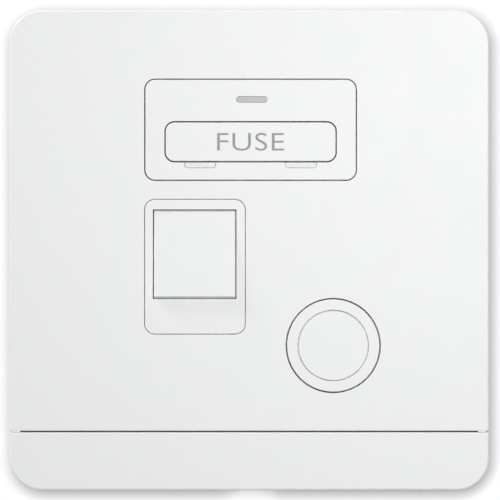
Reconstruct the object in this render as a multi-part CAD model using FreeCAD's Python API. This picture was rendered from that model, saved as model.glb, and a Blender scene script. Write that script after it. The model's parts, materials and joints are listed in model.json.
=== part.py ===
import FreeCAD, Part
import math
import os

# Switched and fused connection unit for one square wall box, 86 mm plate.
# X is to the right and Z is up as seen from the front. Y points into the wall.
# The origin is the middle of the plate, in the plane of the wall.
# Rest: rocker at off, fuse carrier home.

Vector = FreeCAD.Vector

# Front plate
plate_width = 86.0
plate_height = 86.0
plate_corner = 5.8
plate_projection = 9.0
plate_wall = 2.0
plate_edge = 0.4
skirt_wall = 1.6
wall_clearance = 0.3
strip_height = 10.45
seam_gap = 0.25
seam_bevel = 0.15
cover_rib = 1.2
cover_rib_inset = 5.4
pry_slot_width = 8.0
pry_slot_depth = 1.2

# Clip lugs between the covers and the mounting frame
lug_length = 8.0
strip_lug_length = 3.4
lug_reach = 1.0
lug_catch = 0.4
lug_slope = 1.6
lug_root = 0.4
lug_front_set = 5.6
lug_window_clearance = 0.25
side_lug_z = 24.0
side_lug_low_z = -18.0
top_lug_x = 24.0

# Mounting frame
cover_standoff = 1.0
frame_wall = 1.8
frame_rim = 2.0
frame_clearance = 0.3
fixing_spacing = 60.3
fixing_hole_radius = 2.0
fixing_head_radius = 3.7
fixing_head_depth = 2.2
fixing_boss_radius = 4.6
frame_rib = 1.4
frame_rib_setback = 1.2
window_margin = 0.4

# Fuse module, its drawer and its indicator
module_x = 0.26
module_z = 21.55
module_width = 38.15
module_height = 18.35
module_corner = 1.95
module_gap = 0.21
module_flange = 1.0
flange_clearance = 0.1
sleeve_wall = 1.2
sleeve_clip_gap = 0.4
carrier_z = 19.4
carrier_height = 7.35
carrier_corner = 1.8
carrier_gap = 0.2
carrier_front = 2.0
notch_width = 5.7
notch_height = 1.03
notch_depth = 0.5
notch_corner = 0.6
notch_spacing = 18.1
front_edge = 0.15
indicator_x = 0.49
indicator_z = 27.0
indicator_length = 5.6
indicator_height = 1.13
indicator_gap = 0.05

# Cartridge fuse
fuse_length = 25.4
fuse_cap_radius = 3.175
fuse_cap_length = 6.0
fuse_cap_wall = 0.2
fuse_tube_clearance = 0.02
fuse_end_clearance = 0.15
jaw_half_width = 5.6
jaw_slot_width = 4.8
jaw_wall = 0.5
jaw_clearance = 0.05
jaw_mouth = 2.3
guide_thickness = 2.3
carrier_side = 0.3
guide_half_height = 2.6
guide_behind_fuse = 0.6
carrier_spine = 1.5

# Fuse clips
clip_width = 4.8
clip_centre = 9.8
clip_thickness = 0.5
clip_clearance = 0.15
clip_flare = 0.9
clip_flare_length = 2.0
clip_straight_lead = 1.6

# Rocker switch
switch_x = -9.72
switch_z = -3.0
switch_width = 18.2
switch_height = 24.3
switch_corner = 1.95
switch_gap = 0.1
rocker_x = -9.77
rocker_z = -0.75
rocker_width = 14.8
rocker_height = 15.87
rocker_side_gap = 0.18
rocker_arc_gap = 0.2
rocker_proud = 0.4
rocker_wall = 1.4
rocker_skirt = 3.2
rocker_web = 1.2
rocker_tilt = 4.0
pivot_depth = 3.0
axle_radius = 1.0
axle_clearance = 0.05
axle_end_gap = 0.15
cheek_thickness = 1.25
cheek_side_gap = 0.2
cheek_radius = 2.6
pole_spacing = 7.2
tube_radius = 2.25
tube_wall = 0.6
tube_reach = 5.5
plunger_reach = 9.0
plunger_tip_radius = 1.0
plunger_nose_width = 2.2
plunger_body_length = 4.4
plunger_neck = 1.9
plunger_play = 0.08
plunger_clearance = 0.05
spring_wire = 0.16
spring_play = 0.1
spring_pitch = 2.4
spring_end_gap = 0.05

# Rocking contacts
contact_tilt = 9.0
contact_lift = 1.5
contact_thickness = 0.8
contact_width = 4.4
contact_upper = 10.2
contact_lower = 7.2
tip_radius = 1.5
tip_thickness = 0.8
tip_arm = 8.6
tip_rest_gap = 0.04
ear_thickness = 0.7
ear_half_height = 1.5
ear_depth = 1.1
post_thickness = 1.0
post_width = 4.8
post_height = 2.25
post_foot_half = 3.0
notch_play = 0.05
notch_flare = 14.0
strip_thickness = 0.8
leg_width = 3.0
foot_overlap = 2.2
stop_rib = 0.8
stop_rib_arm = 6.2
stop_gap = 0.05

# Terminals
terminal_width = 7.0
terminal_height = 9.0
terminal_depth = 8.4
terminal_bore_radius = 2.1
terminal_bore_setback = 4.0
terminal_screw_radius = 1.7
terminal_screw_play = 0.1
terminal_screw_stand = 1.8
terminal_screw_reach = 1.1
line_in_x = -14.6
neutral_in_x = -6.0
feed_z = -21.5
load_z = 24.6
earth_x = 18.5
earth_z = 4.0
earth_height = 14.0
earth_screw_spacing = 7.0

# Rear moulding
moulding_width = 50.0
moulding_top = 32.0
moulding_bottom = -28.0
moulding_corner = 3.0
moulding_wall = 1.6
cavity_wall = 1.4
floor_wall = 2.0
rear_stand = 2.0
pocket_clearance = 0.2
tower_wall = 1.2
wire_notch_width = 3.8
barrier_thickness = 1.2
barrier_reach = 7.3
slot_clearance = 0.15

# Housing screws
housing_screw_side_inset = 2.2
housing_screw_low_inset = 2.6
housing_screw_high_inset = 4.5
housing_screw_radius = 1.2
housing_screw_play = 0.05
housing_head_radius = 2.2
housing_head_depth = 1.3
housing_screw_length = 9.0

# Flex outlet and cord clamp
outlet_x = 15.07
outlet_z = -17.13
outlet_radius = 8.44
outlet_gap = 0.12
outlet_flange = 0.5
knockout_radius = 6.3
knockout_groove = 0.2
knockout_groove_depth = 0.4
outlet_face = 1.0
outlet_wall = 1.42
flex_hole_radius = 5.6
flex_tube_wall = 1.4
flex_rim_height = 2.2
clamp_x = 3.6
clamp_screw_spacing = 12.4
clamp_boss = 4.8
clamp_boss_height = 7.2
clamp_bar_width = 5.2
clamp_bar_overhang = 2.5
clamp_bar_thickness = 2.0
clamp_bar_ridge = 0.8
clamp_bar_bevel = 0.4
clamp_screw_radius = 1.3
clamp_screw_play = 0.1
clamp_head_radius = 2.4
clamp_head_height = 1.6
clamp_screw_length = 8.0

# Indicator lamp
lens_flange_length = 7.6
lens_flange_height = 3.2
lens_flange_thickness = 1.2
lens_pipe_length = 4.0
lens_pipe_height = 2.4
lens_pipe_depth = 4.6
led_air_gap = 0.2
led_length = 3.2
led_height = 1.6
led_thickness = 1.0
led_bevel = 0.25
board_left = -9.5
board_right = 15.0
board_height = 4.6
board_thickness = 1.2
board_post = 1.8
board_post_inset = 1.3
resistor_x = 6.6
resistor_length = 3.2
resistor_height = 1.6
resistor_thickness = 0.6
resistor_band = 0.5
resistor_band_rise = 0.06
lead_size = 0.64

# Smallest length by which a face counts as flat, and how far a cutting shape passes a face
flat_tolerance = 0.001
beyond = 1.0

# Depths along Y, from the front plate back to the rear edge
plate_front = -plate_projection
plate_inner = plate_front + plate_wall
frame_front = plate_inner + cover_standoff
frame_rear = frame_front + frame_wall
flange_front = plate_inner + flange_clearance
skirt_rear = -wall_clearance
pivot_y = plate_front + pivot_depth
contact_y = pivot_y + plunger_reach + plunger_tip_radius + plunger_clearance + contact_lift
strip_front = contact_y + post_height
floor_front = strip_front + strip_thickness
floor_rear = floor_front + floor_wall
foot_rear = floor_rear + strip_thickness
terminal_rear = foot_rear + terminal_depth
moulding_rear = terminal_rear + rear_stand
clip_gap_half = fuse_cap_radius + clip_clearance
fuse_y = strip_front - 2 * clip_clearance - fuse_cap_radius
clip_bend = fuse_y - clip_straight_lead
clip_mouth = clip_bend - clip_flare_length
sleeve_rear = clip_mouth - sleeve_clip_gap
rocker_front = plate_front - rocker_proud
led_front = frame_front + lens_flange_thickness + lens_pipe_depth + led_air_gap
board_front = led_front + led_thickness
board_rear = board_front + board_thickness

# Places and sizes that follow from the sizes above
carrier_width = fuse_length + 2 * (fuse_end_clearance + guide_thickness + carrier_side)
seam_z = strip_height - plate_height / 2
frame_inset = skirt_wall + frame_clearance
line_x = rocker_x - pole_spacing / 2
neutral_x = rocker_x + pole_spacing / 2
supply_clip_x = module_x - clip_centre
load_clip_x = module_x + clip_centre
rocker_half = rocker_width / 2 - rocker_side_gap / 2
window_half = rocker_width / 2 + rocker_side_gap / 2
window_arc = math.hypot((rocker_height + rocker_arc_gap) / 2, pivot_depth)
cheek_inner = rocker_half + cheek_side_gap
cheek_outer = cheek_inner + cheek_thickness
sleeve_half_width = carrier_width / 2 + sleeve_wall
sleeve_half_height = carrier_height / 2 + sleeve_wall
lamp_half_height = max(lens_flange_height, board_height) / 2
fuse_window_bottom = carrier_z - sleeve_half_height - window_margin
fuse_window_top = indicator_z + lamp_half_height + window_margin
fuse_window_half = sleeve_half_width + 2 * window_margin
switch_window_half = cheek_outer + window_margin
switch_window_half_height = window_arc + window_margin
mechanism_half_height = contact_upper + window_margin
fuse_tube_radius = fuse_cap_radius - fuse_cap_wall - fuse_tube_clearance
housing_screw_x = moulding_width / 2 - housing_screw_side_inset
housing_screw_low_z = moulding_bottom + housing_screw_low_inset
housing_screw_high_z = moulding_top - housing_screw_high_inset
housing_screws_at = [
    (-housing_screw_x, housing_screw_low_z),
    (housing_screw_x, housing_screw_high_z),
]
# Each terminal block: middle x and z, height, front face, and its screws' heights from the middle
terminals = {
    "terminal_line_in": (line_in_x, feed_z, terminal_height, foot_rear, [0]),
    "terminal_neutral_in": (neutral_in_x, feed_z, terminal_height, foot_rear, [0]),
    "terminal_line_load": (load_clip_x, load_z, terminal_height, foot_rear, [0]),
    "terminal_neutral_load": (neutral_x, load_z, terminal_height, foot_rear, [0]),
    "terminal_earth": (
        earth_x,
        earth_z,
        earth_height,
        floor_rear,
        [-earth_screw_spacing / 2, earth_screw_spacing / 2],
    ),
}


def slab(x0, x1, y0, y1, z0, z1):
    return Part.makeBox(x1 - x0, y1 - y0, z1 - z0, Vector(x0, y0, z0))


def centred_slab(x, z, width, height, y0, y1):
    return slab(x - width / 2, x + width / 2, y0, y1, z - height / 2, z + height / 2)


def rod_x(x0, x1, y, z, radius):
    return Part.makeCylinder(radius, x1 - x0, Vector(x0, y, z), Vector(1, 0, 0))


def rod_y(x, z, radius, y0, y1):
    return Part.makeCylinder(radius, y1 - y0, Vector(x, y0, z), Vector(0, 1, 0))


def rod_z(x, y, radius, z0, z1):
    return Part.makeCylinder(radius, z1 - z0, Vector(x, y, z0), Vector(0, 0, 1))


def rounded_slab(x, z, width, height, radius, y0, y1):
    """A slab whose four edges along Y are rounded."""
    block = centred_slab(x, z, width, height, y0, y1)
    depth_edges = [edge for edge in block.Edges if edge.BoundBox.YLength > (y1 - y0) / 2]
    return block.makeFillet(radius, depth_edges)


def pill(x, z, length, height, y0, y1):
    """A slab with fully round ends."""
    reach = (length - height) / 2
    ends = [rod_y(x + side * reach, z, height / 2, y0, y1) for side in (-1, 1)]
    return centred_slab(x, z, 2 * reach, height, y0, y1).multiFuse(ends).removeSplitter()


def edges_at(solid, y):
    """Outer edges of the flat face that lies at that depth."""
    face = next(
        face
        for face in solid.Faces
        if abs(face.BoundBox.YMax - y) < flat_tolerance and face.BoundBox.YLength < flat_tolerance
    )
    return face.OuterWire.Edges


def bevelled(solid, y, size):
    """The solid with a small bevel round its flat face at that depth."""
    return solid.makeChamfer(size, edges_at(solid, y))


def prism_x(outline, x0, x1):
    """A solid along X from a list of y, z points."""
    points = [Vector(x0, y, z) for y, z in outline]
    wire = Part.makePolygon(points + points[:1])
    return Part.Face(wire).extrude(Vector(x1 - x0, 0, 0))


def prism_y(outline, y0, y1):
    """A solid along Y from a list of x, z points."""
    points = [Vector(x, y0, z) for x, z in outline]
    wire = Part.makePolygon(points + points[:1])
    return Part.Face(wire).extrude(Vector(0, y1 - y0, 0))


def join(first, others):
    return first.multiFuse(others).removeSplitter()


def turned(shape, degrees, y, z):
    """A copy turned about an axis along X through y, z."""
    copy = shape.copy()
    copy.rotate(Vector(0, y, z), Vector(1, 0, 0), degrees)
    return copy


def plate_side(shape, quarter):
    """A copy turned by quarters about Y: right side, bottom, left side, top."""
    copy = shape.copy()
    copy.rotate(Vector(0, 0, 0), Vector(0, 1, 0), 90 * quarter)
    return copy


def lug_places():
    """Side by quarter turns, place along that side and length of each lug: fascia's, then strip's."""
    strip_z = (seam_z - frame_corner_z()) / 2 + frame_corner_z()
    fascia_lugs = [
        (0, side_lug_z, lug_length),
        (0, side_lug_low_z, lug_length),
        (2, -side_lug_z, lug_length),
        (2, -side_lug_low_z, lug_length),
        (3, top_lug_x, lug_length),
        (3, -top_lug_x, lug_length),
    ]
    strip_lugs = [
        (0, strip_z, strip_lug_length),
        (2, -strip_z, strip_lug_length),
        (1, top_lug_x, lug_length),
        (1, -top_lug_x, lug_length),
    ]
    return fascia_lugs, strip_lugs


def frame_corner_z():
    """Height where the frame's lower corner rounding starts."""
    return plate_corner - plate_height / 2


def skirt_inside(quarter):
    """Distance from the middle to the inside of the skirt on that side."""
    size = plate_width if quarter % 2 == 0 else plate_height
    return size / 2 - skirt_wall


def clip_lug(quarter, along, length):
    """Catch wedge inside the skirt: a flat catch to the front and a slope to the rear."""
    inside = skirt_inside(quarter)
    front = plate_front + lug_front_set
    root = inside + lug_root
    profile = [
        (root, front),
        (inside - lug_reach, front),
        (inside - lug_reach, front + lug_catch),
        (inside, front + lug_catch + lug_slope),
        (root, front + lug_catch + lug_slope),
    ]
    points = [Vector(x, y, along - length / 2) for x, y in profile]
    face = Part.Face(Part.makePolygon(points + points[:1]))
    return plate_side(face.extrude(Vector(0, 0, length)), quarter)


def lug_window(quarter, along, length):
    """Opening in the frame's rim that a lug snaps into."""
    inside = skirt_inside(quarter)
    front = plate_front + lug_front_set - lug_window_clearance
    rear = plate_front + lug_front_set + lug_catch + lug_slope
    reach = length / 2 + lug_window_clearance
    window = slab(
        inside - frame_clearance - frame_rim - lug_window_clearance,
        inside,
        front,
        rear,
        along - reach,
        along + reach,
    )
    return plate_side(window, quarter)


def cover_shell():
    """The whole cover, before the seam divides it: a shallow tray with a bevelled front edge."""
    outer = rounded_slab(0, 0, plate_width, plate_height, plate_corner, plate_front, skirt_rear)
    outer = bevelled(outer, plate_front, plate_edge)
    hollow = rounded_slab(
        0,
        0,
        plate_width - 2 * skirt_wall,
        plate_height - 2 * skirt_wall,
        plate_corner - skirt_wall,
        plate_inner,
        skirt_rear + beyond,
    )
    return outer.cut(hollow)


def cover_part(z_low, z_high, seam_edge_z):
    """The cover between two heights, with a bevel along its seam edge."""
    half = plate_width
    piece = cover_shell().common(slab(-half, half, plate_front - beyond, 0, z_low, z_high))
    bevel = prism_x(
        [
            (plate_front, seam_edge_z - seam_bevel),
            (plate_front + seam_bevel, seam_edge_z),
            (plate_front, seam_edge_z + seam_bevel),
            (plate_front - seam_bevel, seam_edge_z),
        ],
        -half,
        half,
    )
    return piece.cut(bevel)


def cover_ribs(z_low, z_high, seam_rib_low):
    """Ribs behind the cover that rest on the mounting frame's front."""
    rib_x = plate_width / 2 - skirt_wall - cover_rib_inset
    ribs = [
        slab(
            side * rib_x - cover_rib / 2,
            side * rib_x + cover_rib / 2,
            plate_inner,
            frame_front,
            z_low,
            z_high,
        )
        for side in (-1, 1)
    ]
    ribs.append(
        slab(-rib_x, rib_x, plate_inner, frame_front, seam_rib_low, seam_rib_low + cover_rib)
    )
    return ribs


def fascia():
    low = seam_z + seam_gap / 2
    high = plate_height / 2
    rib_high = high - skirt_wall - cover_rib_inset
    openings = [
        rounded_slab(
            module_x,
            module_z,
            module_width,
            module_height,
            module_corner,
            plate_front - beyond,
            frame_front,
        ),
        rounded_slab(
            switch_x,
            switch_z,
            switch_width,
            switch_height,
            switch_corner,
            plate_front - beyond,
            frame_front,
        ),
        rod_y(outlet_x, outlet_z, outlet_radius, plate_front - beyond, frame_front),
    ]
    ribs = cover_ribs(low, rib_high, low)
    rib_x = plate_width / 2 - skirt_wall - cover_rib_inset
    ribs.append(slab(-rib_x, rib_x, plate_inner, frame_front, rib_high - cover_rib, rib_high))
    lugs = [clip_lug(*place) for place in lug_places()[0]]
    body = join(cover_part(low, high + beyond, low), ribs + lugs)
    return body.cut(Part.makeCompound(openings))


def lower_strip():
    low = -plate_height / 2
    high = seam_z - seam_gap / 2
    lugs = [clip_lug(*place) for place in lug_places()[1]]
    ribs = cover_ribs(low + skirt_wall + cover_rib_inset, high, high - cover_rib)
    body = join(cover_part(low - beyond, high, high), ribs + lugs)
    pry_slot = slab(
        -pry_slot_width / 2,
        pry_slot_width / 2,
        skirt_rear - pry_slot_depth,
        skirt_rear + beyond,
        low - beyond,
        low + skirt_wall + frame_clearance / 2,
    )
    return body.cut(pry_slot)


def mounting_frame():
    width = plate_width - 2 * frame_inset
    height = plate_height - 2 * frame_inset
    corner = plate_corner - frame_inset
    body = rounded_slab(0, 0, width, height, corner, frame_front, 0)
    inside = rounded_slab(
        0,
        0,
        width - 2 * frame_rim,
        height - 2 * frame_rim,
        corner - frame_rim,
        frame_rear,
        beyond,
    )
    fixing_x = fixing_spacing / 2
    bosses = [
        rod_y(side * fixing_x, 0, fixing_boss_radius, frame_rear, 0) for side in (-1, 1)
    ]
    rib_inner = fixing_x + fixing_hole_radius + frame_rib
    bosses += [
        slab(
            min(side * rib_inner, side * (width / 2 - frame_rim)),
            max(side * rib_inner, side * (width / 2 - frame_rim)),
            frame_rear,
            -frame_rib_setback,
            -frame_rib / 2,
            frame_rib / 2,
        )
        for side in (-1, 1)
    ]
    body = join(body.cut(inside), bosses)
    cuts = []
    for side in (-1, 1):
        cuts.append(rod_y(side * fixing_x, 0, fixing_hole_radius, frame_front - beyond, beyond))
        cuts.append(
            rod_y(
                side * fixing_x,
                0,
                fixing_head_radius,
                frame_front - beyond,
                frame_front + fixing_head_depth,
            )
        )
    cuts.append(
        slab(
            module_x - fuse_window_half,
            module_x + fuse_window_half,
            frame_front - beyond,
            frame_rear + beyond,
            fuse_window_bottom,
            fuse_window_top,
        )
    )
    cuts.append(
        centred_slab(
            rocker_x,
            rocker_z,
            2 * switch_window_half,
            2 * switch_window_half_height,
            frame_front - beyond,
            frame_rear + beyond,
        )
    )
    tube_outer = flex_hole_radius + flex_tube_wall
    cuts.append(
        rod_y(outlet_x, outlet_z, tube_outer, frame_front - beyond, frame_rear + beyond)
    )
    for x, z in housing_screws_at:
        cuts.append(housing_screw_hole(x, z, frame_rear + beyond))
    for place in lug_places()[0] + lug_places()[1]:
        cuts.append(lug_window(*place))
    return body.cut(Part.makeCompound(cuts))


def housing_screw_hole(x, z, rear):
    """Clearance hole with a countersink for one housing screw."""
    hole_radius = housing_screw_radius + housing_screw_play
    sink = Part.makeCone(
        housing_head_radius + housing_screw_play,
        hole_radius,
        housing_head_depth,
        Vector(x, frame_front, z),
        Vector(0, 1, 0),
    )
    return rod_y(x, z, hole_radius, frame_front, rear).fuse(sink)


def fuse_module():
    """The insert round the drawer: front block, flange behind the fascia, guide sleeve."""
    front = rounded_slab(
        module_x,
        module_z,
        module_width - 2 * module_gap,
        module_height - 2 * module_gap,
        module_corner - module_gap,
        plate_front,
        frame_front,
    )
    front = bevelled(front, plate_front, front_edge)
    flange = centred_slab(
        module_x,
        module_z,
        module_width + 2 * module_flange,
        module_height + 2 * module_flange,
        flange_front,
        frame_front,
    )
    sleeve = centred_slab(
        module_x,
        carrier_z,
        2 * sleeve_half_width,
        2 * sleeve_half_height,
        frame_front - beyond,
        sleeve_rear,
    )
    opening = rounded_slab(
        module_x,
        carrier_z,
        carrier_width,
        carrier_height,
        carrier_corner,
        plate_front - beyond,
        sleeve_rear + beyond,
    )
    notches = [
        pry_notch(module_x + side * notch_spacing / 2) for side in (-1, 1)
    ]
    slot = pill(
        indicator_x,
        indicator_z,
        indicator_length,
        indicator_height,
        plate_front - beyond,
        frame_front + beyond,
    )
    body = join(front, [flange, sleeve])
    return body.cut(Part.makeCompound([opening, slot] + notches))


def pry_notch(x):
    """Recess under the drawer for a screwdriver's blade, open at the top into the drawer's opening."""
    bottom = carrier_z - carrier_height / 2 - notch_height
    top = bottom + 2 * notch_corner + notch_height
    return rounded_slab(
        x,
        (bottom + top) / 2,
        notch_width,
        top - bottom,
        notch_corner,
        plate_front - beyond,
        plate_front + notch_depth,
    )


def fuse_carrier():
    """The drawer: front plate, two guides and a pair of jaws that hold the fuse by its middle."""
    front = rounded_slab(
        module_x,
        carrier_z,
        carrier_width - 2 * carrier_gap,
        carrier_height - 2 * carrier_gap,
        carrier_corner - carrier_gap,
        plate_front,
        plate_front + carrier_front,
    )
    front = bevelled(front, plate_front, front_edge)
    guide_inner = fuse_length / 2 + fuse_end_clearance
    guide_rear = fuse_y + guide_behind_fuse
    guides = [
        centred_slab(
            module_x + side * (guide_inner + guide_thickness / 2),
            carrier_z,
            guide_thickness,
            2 * guide_half_height,
            plate_front + carrier_front / 2,
            guide_rear,
        )
        for side in (-1, 1)
    ]
    spine = centred_slab(
        module_x,
        carrier_z,
        2 * guide_inner + guide_thickness,
        2 * guide_half_height,
        plate_front + carrier_front / 2,
        plate_front + carrier_front + carrier_spine,
    )
    bore_radius = fuse_tube_radius + jaw_clearance
    jaw_half_height = bore_radius + jaw_wall
    jaw_rear = fuse_y + math.sqrt(bore_radius**2 - jaw_mouth**2) + jaw_wall
    jaws = centred_slab(
        module_x,
        carrier_z,
        2 * jaw_half_width,
        2 * jaw_half_height,
        plate_front + carrier_front / 2,
        jaw_rear,
    )
    cuts = [
        rod_x(
            module_x - jaw_half_width - beyond,
            module_x + jaw_half_width + beyond,
            fuse_y,
            carrier_z,
            bore_radius,
        ),
        centred_slab(
            module_x,
            carrier_z,
            2 * (jaw_half_width + beyond),
            2 * jaw_mouth,
            fuse_y,
            jaw_rear + beyond,
        ),
        centred_slab(
            module_x,
            carrier_z,
            jaw_slot_width,
            2 * (jaw_half_height + beyond),
            plate_front + carrier_front + carrier_spine,
            jaw_rear + beyond,
        ),
    ]
    body = join(front, guides + [spine, jaws])
    return body.cut(Part.makeCompound(cuts))


def fuse_tube():
    half = fuse_length / 2 - fuse_cap_wall - fuse_tube_clearance
    return rod_x(module_x - half, module_x + half, fuse_y, carrier_z, fuse_tube_radius)


def fuse_cap(side):
    """A drawn metal cup over one end of the tube."""
    end = fuse_length / 2
    outer = rod_x(end - fuse_cap_length, end, 0, 0, fuse_cap_radius)
    cup = outer.cut(
        rod_x(end - fuse_cap_length - beyond, end - fuse_cap_wall, 0, 0, fuse_cap_radius - fuse_cap_wall)
    )
    if side < 0:
        cup.rotate(Vector(0, 0, 0), Vector(0, 0, 1), 180)
    cup.translate(Vector(module_x, fuse_y, carrier_z))
    return cup


def clip_jaws(x):
    """Spring clip open to the front: two arms along the cap, flared at the mouth."""
    arm_inner = clip_gap_half
    arm_outer = clip_gap_half + clip_thickness
    profile = [
        (floor_front, -arm_outer),
        (clip_bend, -arm_outer),
        (clip_mouth, -arm_outer - clip_flare),
        (clip_mouth, -arm_inner - clip_flare),
        (clip_bend, -arm_inner),
        (strip_front, -arm_inner),
        (strip_front, arm_inner),
        (clip_bend, arm_inner),
        (clip_mouth, arm_inner + clip_flare),
        (clip_mouth, arm_outer + clip_flare),
        (clip_bend, arm_outer),
        (floor_front, arm_outer),
    ]
    outline = [(y, carrier_z + z) for y, z in profile]
    return prism_x(outline, x - clip_width / 2, x + clip_width / 2)


def contact_bar_z(pole_z):
    """Height of a fixed contact's middle."""
    return rocker_z + pole_z


def fuse_clip_supply():
    """Clip on the supply side, whose strip runs down to the line pole's fixed contact."""
    left = line_x - contact_width / 2
    right = line_x + contact_width / 2
    clip_left = supply_clip_x - clip_width / 2
    clip_right = supply_clip_x + clip_width / 2
    clip_bottom = carrier_z - clip_gap_half
    fixed_z = contact_bar_z(tip_arm)
    jog_top = clip_bottom - clip_thickness
    jog_bottom = fixed_z + tip_radius
    low = fixed_z - tip_radius - clip_thickness
    strip = prism_y(
        [
            (clip_left, clip_bottom),
            (clip_left, jog_top),
            (left, jog_top - (clip_left - left)),
            (left, low),
            (right, low),
            (right, jog_bottom),
            (clip_right, jog_top - clip_thickness),
            (clip_right, clip_bottom),
        ],
        strip_front,
        floor_front,
    )
    return join(clip_jaws(supply_clip_x), [strip])


def fuse_clip_load():
    """Clip on the load side, whose strip runs up to the lamp's lead and back to its terminal."""
    top = indicator_z + board_height / 2
    bottom = carrier_z + clip_gap_half
    strip = slab(
        load_clip_x - clip_width / 2,
        load_clip_x + clip_width / 2,
        strip_front,
        floor_front,
        bottom,
        top,
    )
    leg = slab(
        load_clip_x - leg_width / 2,
        load_clip_x + leg_width / 2,
        strip_front,
        foot_rear,
        top - strip_thickness,
        top,
    )
    foot = slab(
        load_clip_x - leg_width / 2,
        load_clip_x + leg_width / 2,
        floor_rear,
        foot_rear,
        load_z - foot_overlap,
        top,
    )
    return join(clip_jaws(load_clip_x), [strip, leg, foot])


def neutral_strip():
    """Fixed contact of the neutral pole, with its link behind the floor up to the load terminal."""
    fixed_z = contact_bar_z(tip_arm)
    low = fixed_z - tip_radius - strip_thickness
    high = fixed_z + tip_radius
    plate = slab(
        neutral_x - contact_width / 2,
        neutral_x + contact_width / 2,
        strip_front,
        floor_front,
        low,
        high,
    )
    leg = slab(
        neutral_x - leg_width / 2,
        neutral_x + leg_width / 2,
        strip_front,
        foot_rear,
        low,
        low + strip_thickness,
    )
    riser = slab(
        neutral_x - leg_width / 2,
        neutral_x + leg_width / 2,
        floor_rear,
        foot_rear,
        low,
        indicator_z + board_height / 2,
    )
    return join(plate, [leg, riser])


def pivot_post(x):
    """Post with a round-topped ridge for the rocking contact, and its link down to the terminal."""
    ridge = slab(
        x - post_width / 2,
        x + post_width / 2,
        contact_y,
        floor_front,
        rocker_z - post_thickness / 2,
        rocker_z + post_thickness / 2,
    )
    crown = rod_x(x - post_width / 2, x + post_width / 2, contact_y, rocker_z, post_thickness / 2)
    leg_z = rocker_z - mechanism_half_height + strip_thickness
    plate = slab(
        x - leg_width / 2,
        x + leg_width / 2,
        strip_front,
        floor_front,
        leg_z,
        rocker_z + post_foot_half,
    )
    leg = slab(
        x - leg_width / 2,
        x + leg_width / 2,
        strip_front,
        foot_rear,
        leg_z,
        leg_z + strip_thickness,
    )
    foot = slab(
        x - leg_width / 2,
        x + leg_width / 2,
        floor_rear,
        foot_rear,
        feed_z,
        leg_z + strip_thickness,
    )
    return join(ridge, [crown, plate, leg, foot])


def moving_contact(x, degrees):
    """Rocking contact: a flat strip with two notched ears astride the post's ridge."""
    front = contact_y - contact_lift
    rear = front + contact_thickness
    strip = slab(
        x - contact_width / 2,
        x + contact_width / 2,
        front,
        rear,
        rocker_z - contact_lower,
        rocker_z + contact_upper,
    )
    ears = []
    for side in (-1, 1):
        outer = x + side * contact_width / 2
        inner = outer - side * ear_thickness
        ears.append(
            slab(
                min(inner, outer),
                max(inner, outer),
                front,
                contact_y + ear_depth,
                rocker_z - ear_half_height,
                rocker_z + ear_half_height,
            )
        )
    saddle_radius = post_thickness / 2 + notch_play
    flare_depth = ear_depth + beyond
    flare = saddle_radius + flare_depth * math.tan(math.radians(notch_flare))
    notch = prism_x(
        [
            (contact_y, rocker_z - saddle_radius),
            (contact_y + flare_depth, rocker_z - flare),
            (contact_y + flare_depth, rocker_z + flare),
            (contact_y, rocker_z + saddle_radius),
        ],
        x - contact_width,
        x + contact_width,
    )
    saddle = rod_x(x - contact_width, x + contact_width, contact_y, rocker_z, saddle_radius)
    body = join(strip, ears).cut(Part.makeCompound([notch, saddle]))
    return turned(body, degrees, contact_y, rocker_z)


def moving_tip(x, degrees):
    """Rivet head on the rear of the rocking contact's upper arm."""
    rear = contact_y - contact_lift + contact_thickness
    tip = rod_y(x, contact_bar_z(tip_arm), tip_radius, rear, rear + tip_thickness)
    return turned(tip, degrees, contact_y, rocker_z)


def fixed_tip(x):
    """Fixed rivet head, slanted to meet the moving one squarely when the switch is on."""
    face = contact_y - contact_lift + contact_thickness + tip_thickness + tip_rest_gap
    stock = rod_y(x, contact_bar_z(tip_arm), tip_radius, face, floor_front)
    stock = turned(stock, -contact_tilt, contact_y, rocker_z)
    room = slab(
        x - contact_width,
        x + contact_width,
        contact_y,
        strip_front,
        rocker_z,
        rocker_z + 2 * contact_upper,
    )
    return stock.common(room)


def switch_surround():
    """The insert round the rocker: front block, flange, window and the two bearing cheeks."""
    front = rounded_slab(
        switch_x,
        switch_z,
        switch_width - 2 * switch_gap,
        switch_height - 2 * switch_gap,
        switch_corner - switch_gap,
        plate_front,
        frame_front,
    )
    front = bevelled(front, plate_front, front_edge)
    flange = centred_slab(
        switch_x,
        switch_z,
        switch_width + 2 * module_flange,
        switch_height + 2 * module_flange,
        flange_front,
        frame_front,
    )
    cheeks = []
    for side in (-1, 1):
        x0 = rocker_x + min(side * cheek_inner, side * cheek_outer)
        x1 = rocker_x + max(side * cheek_inner, side * cheek_outer)
        cheeks.append(rod_x(x0, x1, pivot_y, rocker_z, cheek_radius))
        cheeks.append(
            slab(
                x0,
                x1,
                frame_front - beyond,
                pivot_y,
                rocker_z - cheek_radius,
                rocker_z + cheek_radius,
            )
        )
    body = join(front, [flange] + cheeks)
    window = rod_x(rocker_x - window_half, rocker_x + window_half, pivot_y, rocker_z, window_arc)
    bearing = rod_x(
        rocker_x - cheek_outer - beyond,
        rocker_x + cheek_outer + beyond,
        pivot_y,
        rocker_z,
        axle_radius + axle_clearance,
    )
    return body.cut(window).cut(bearing)


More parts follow.
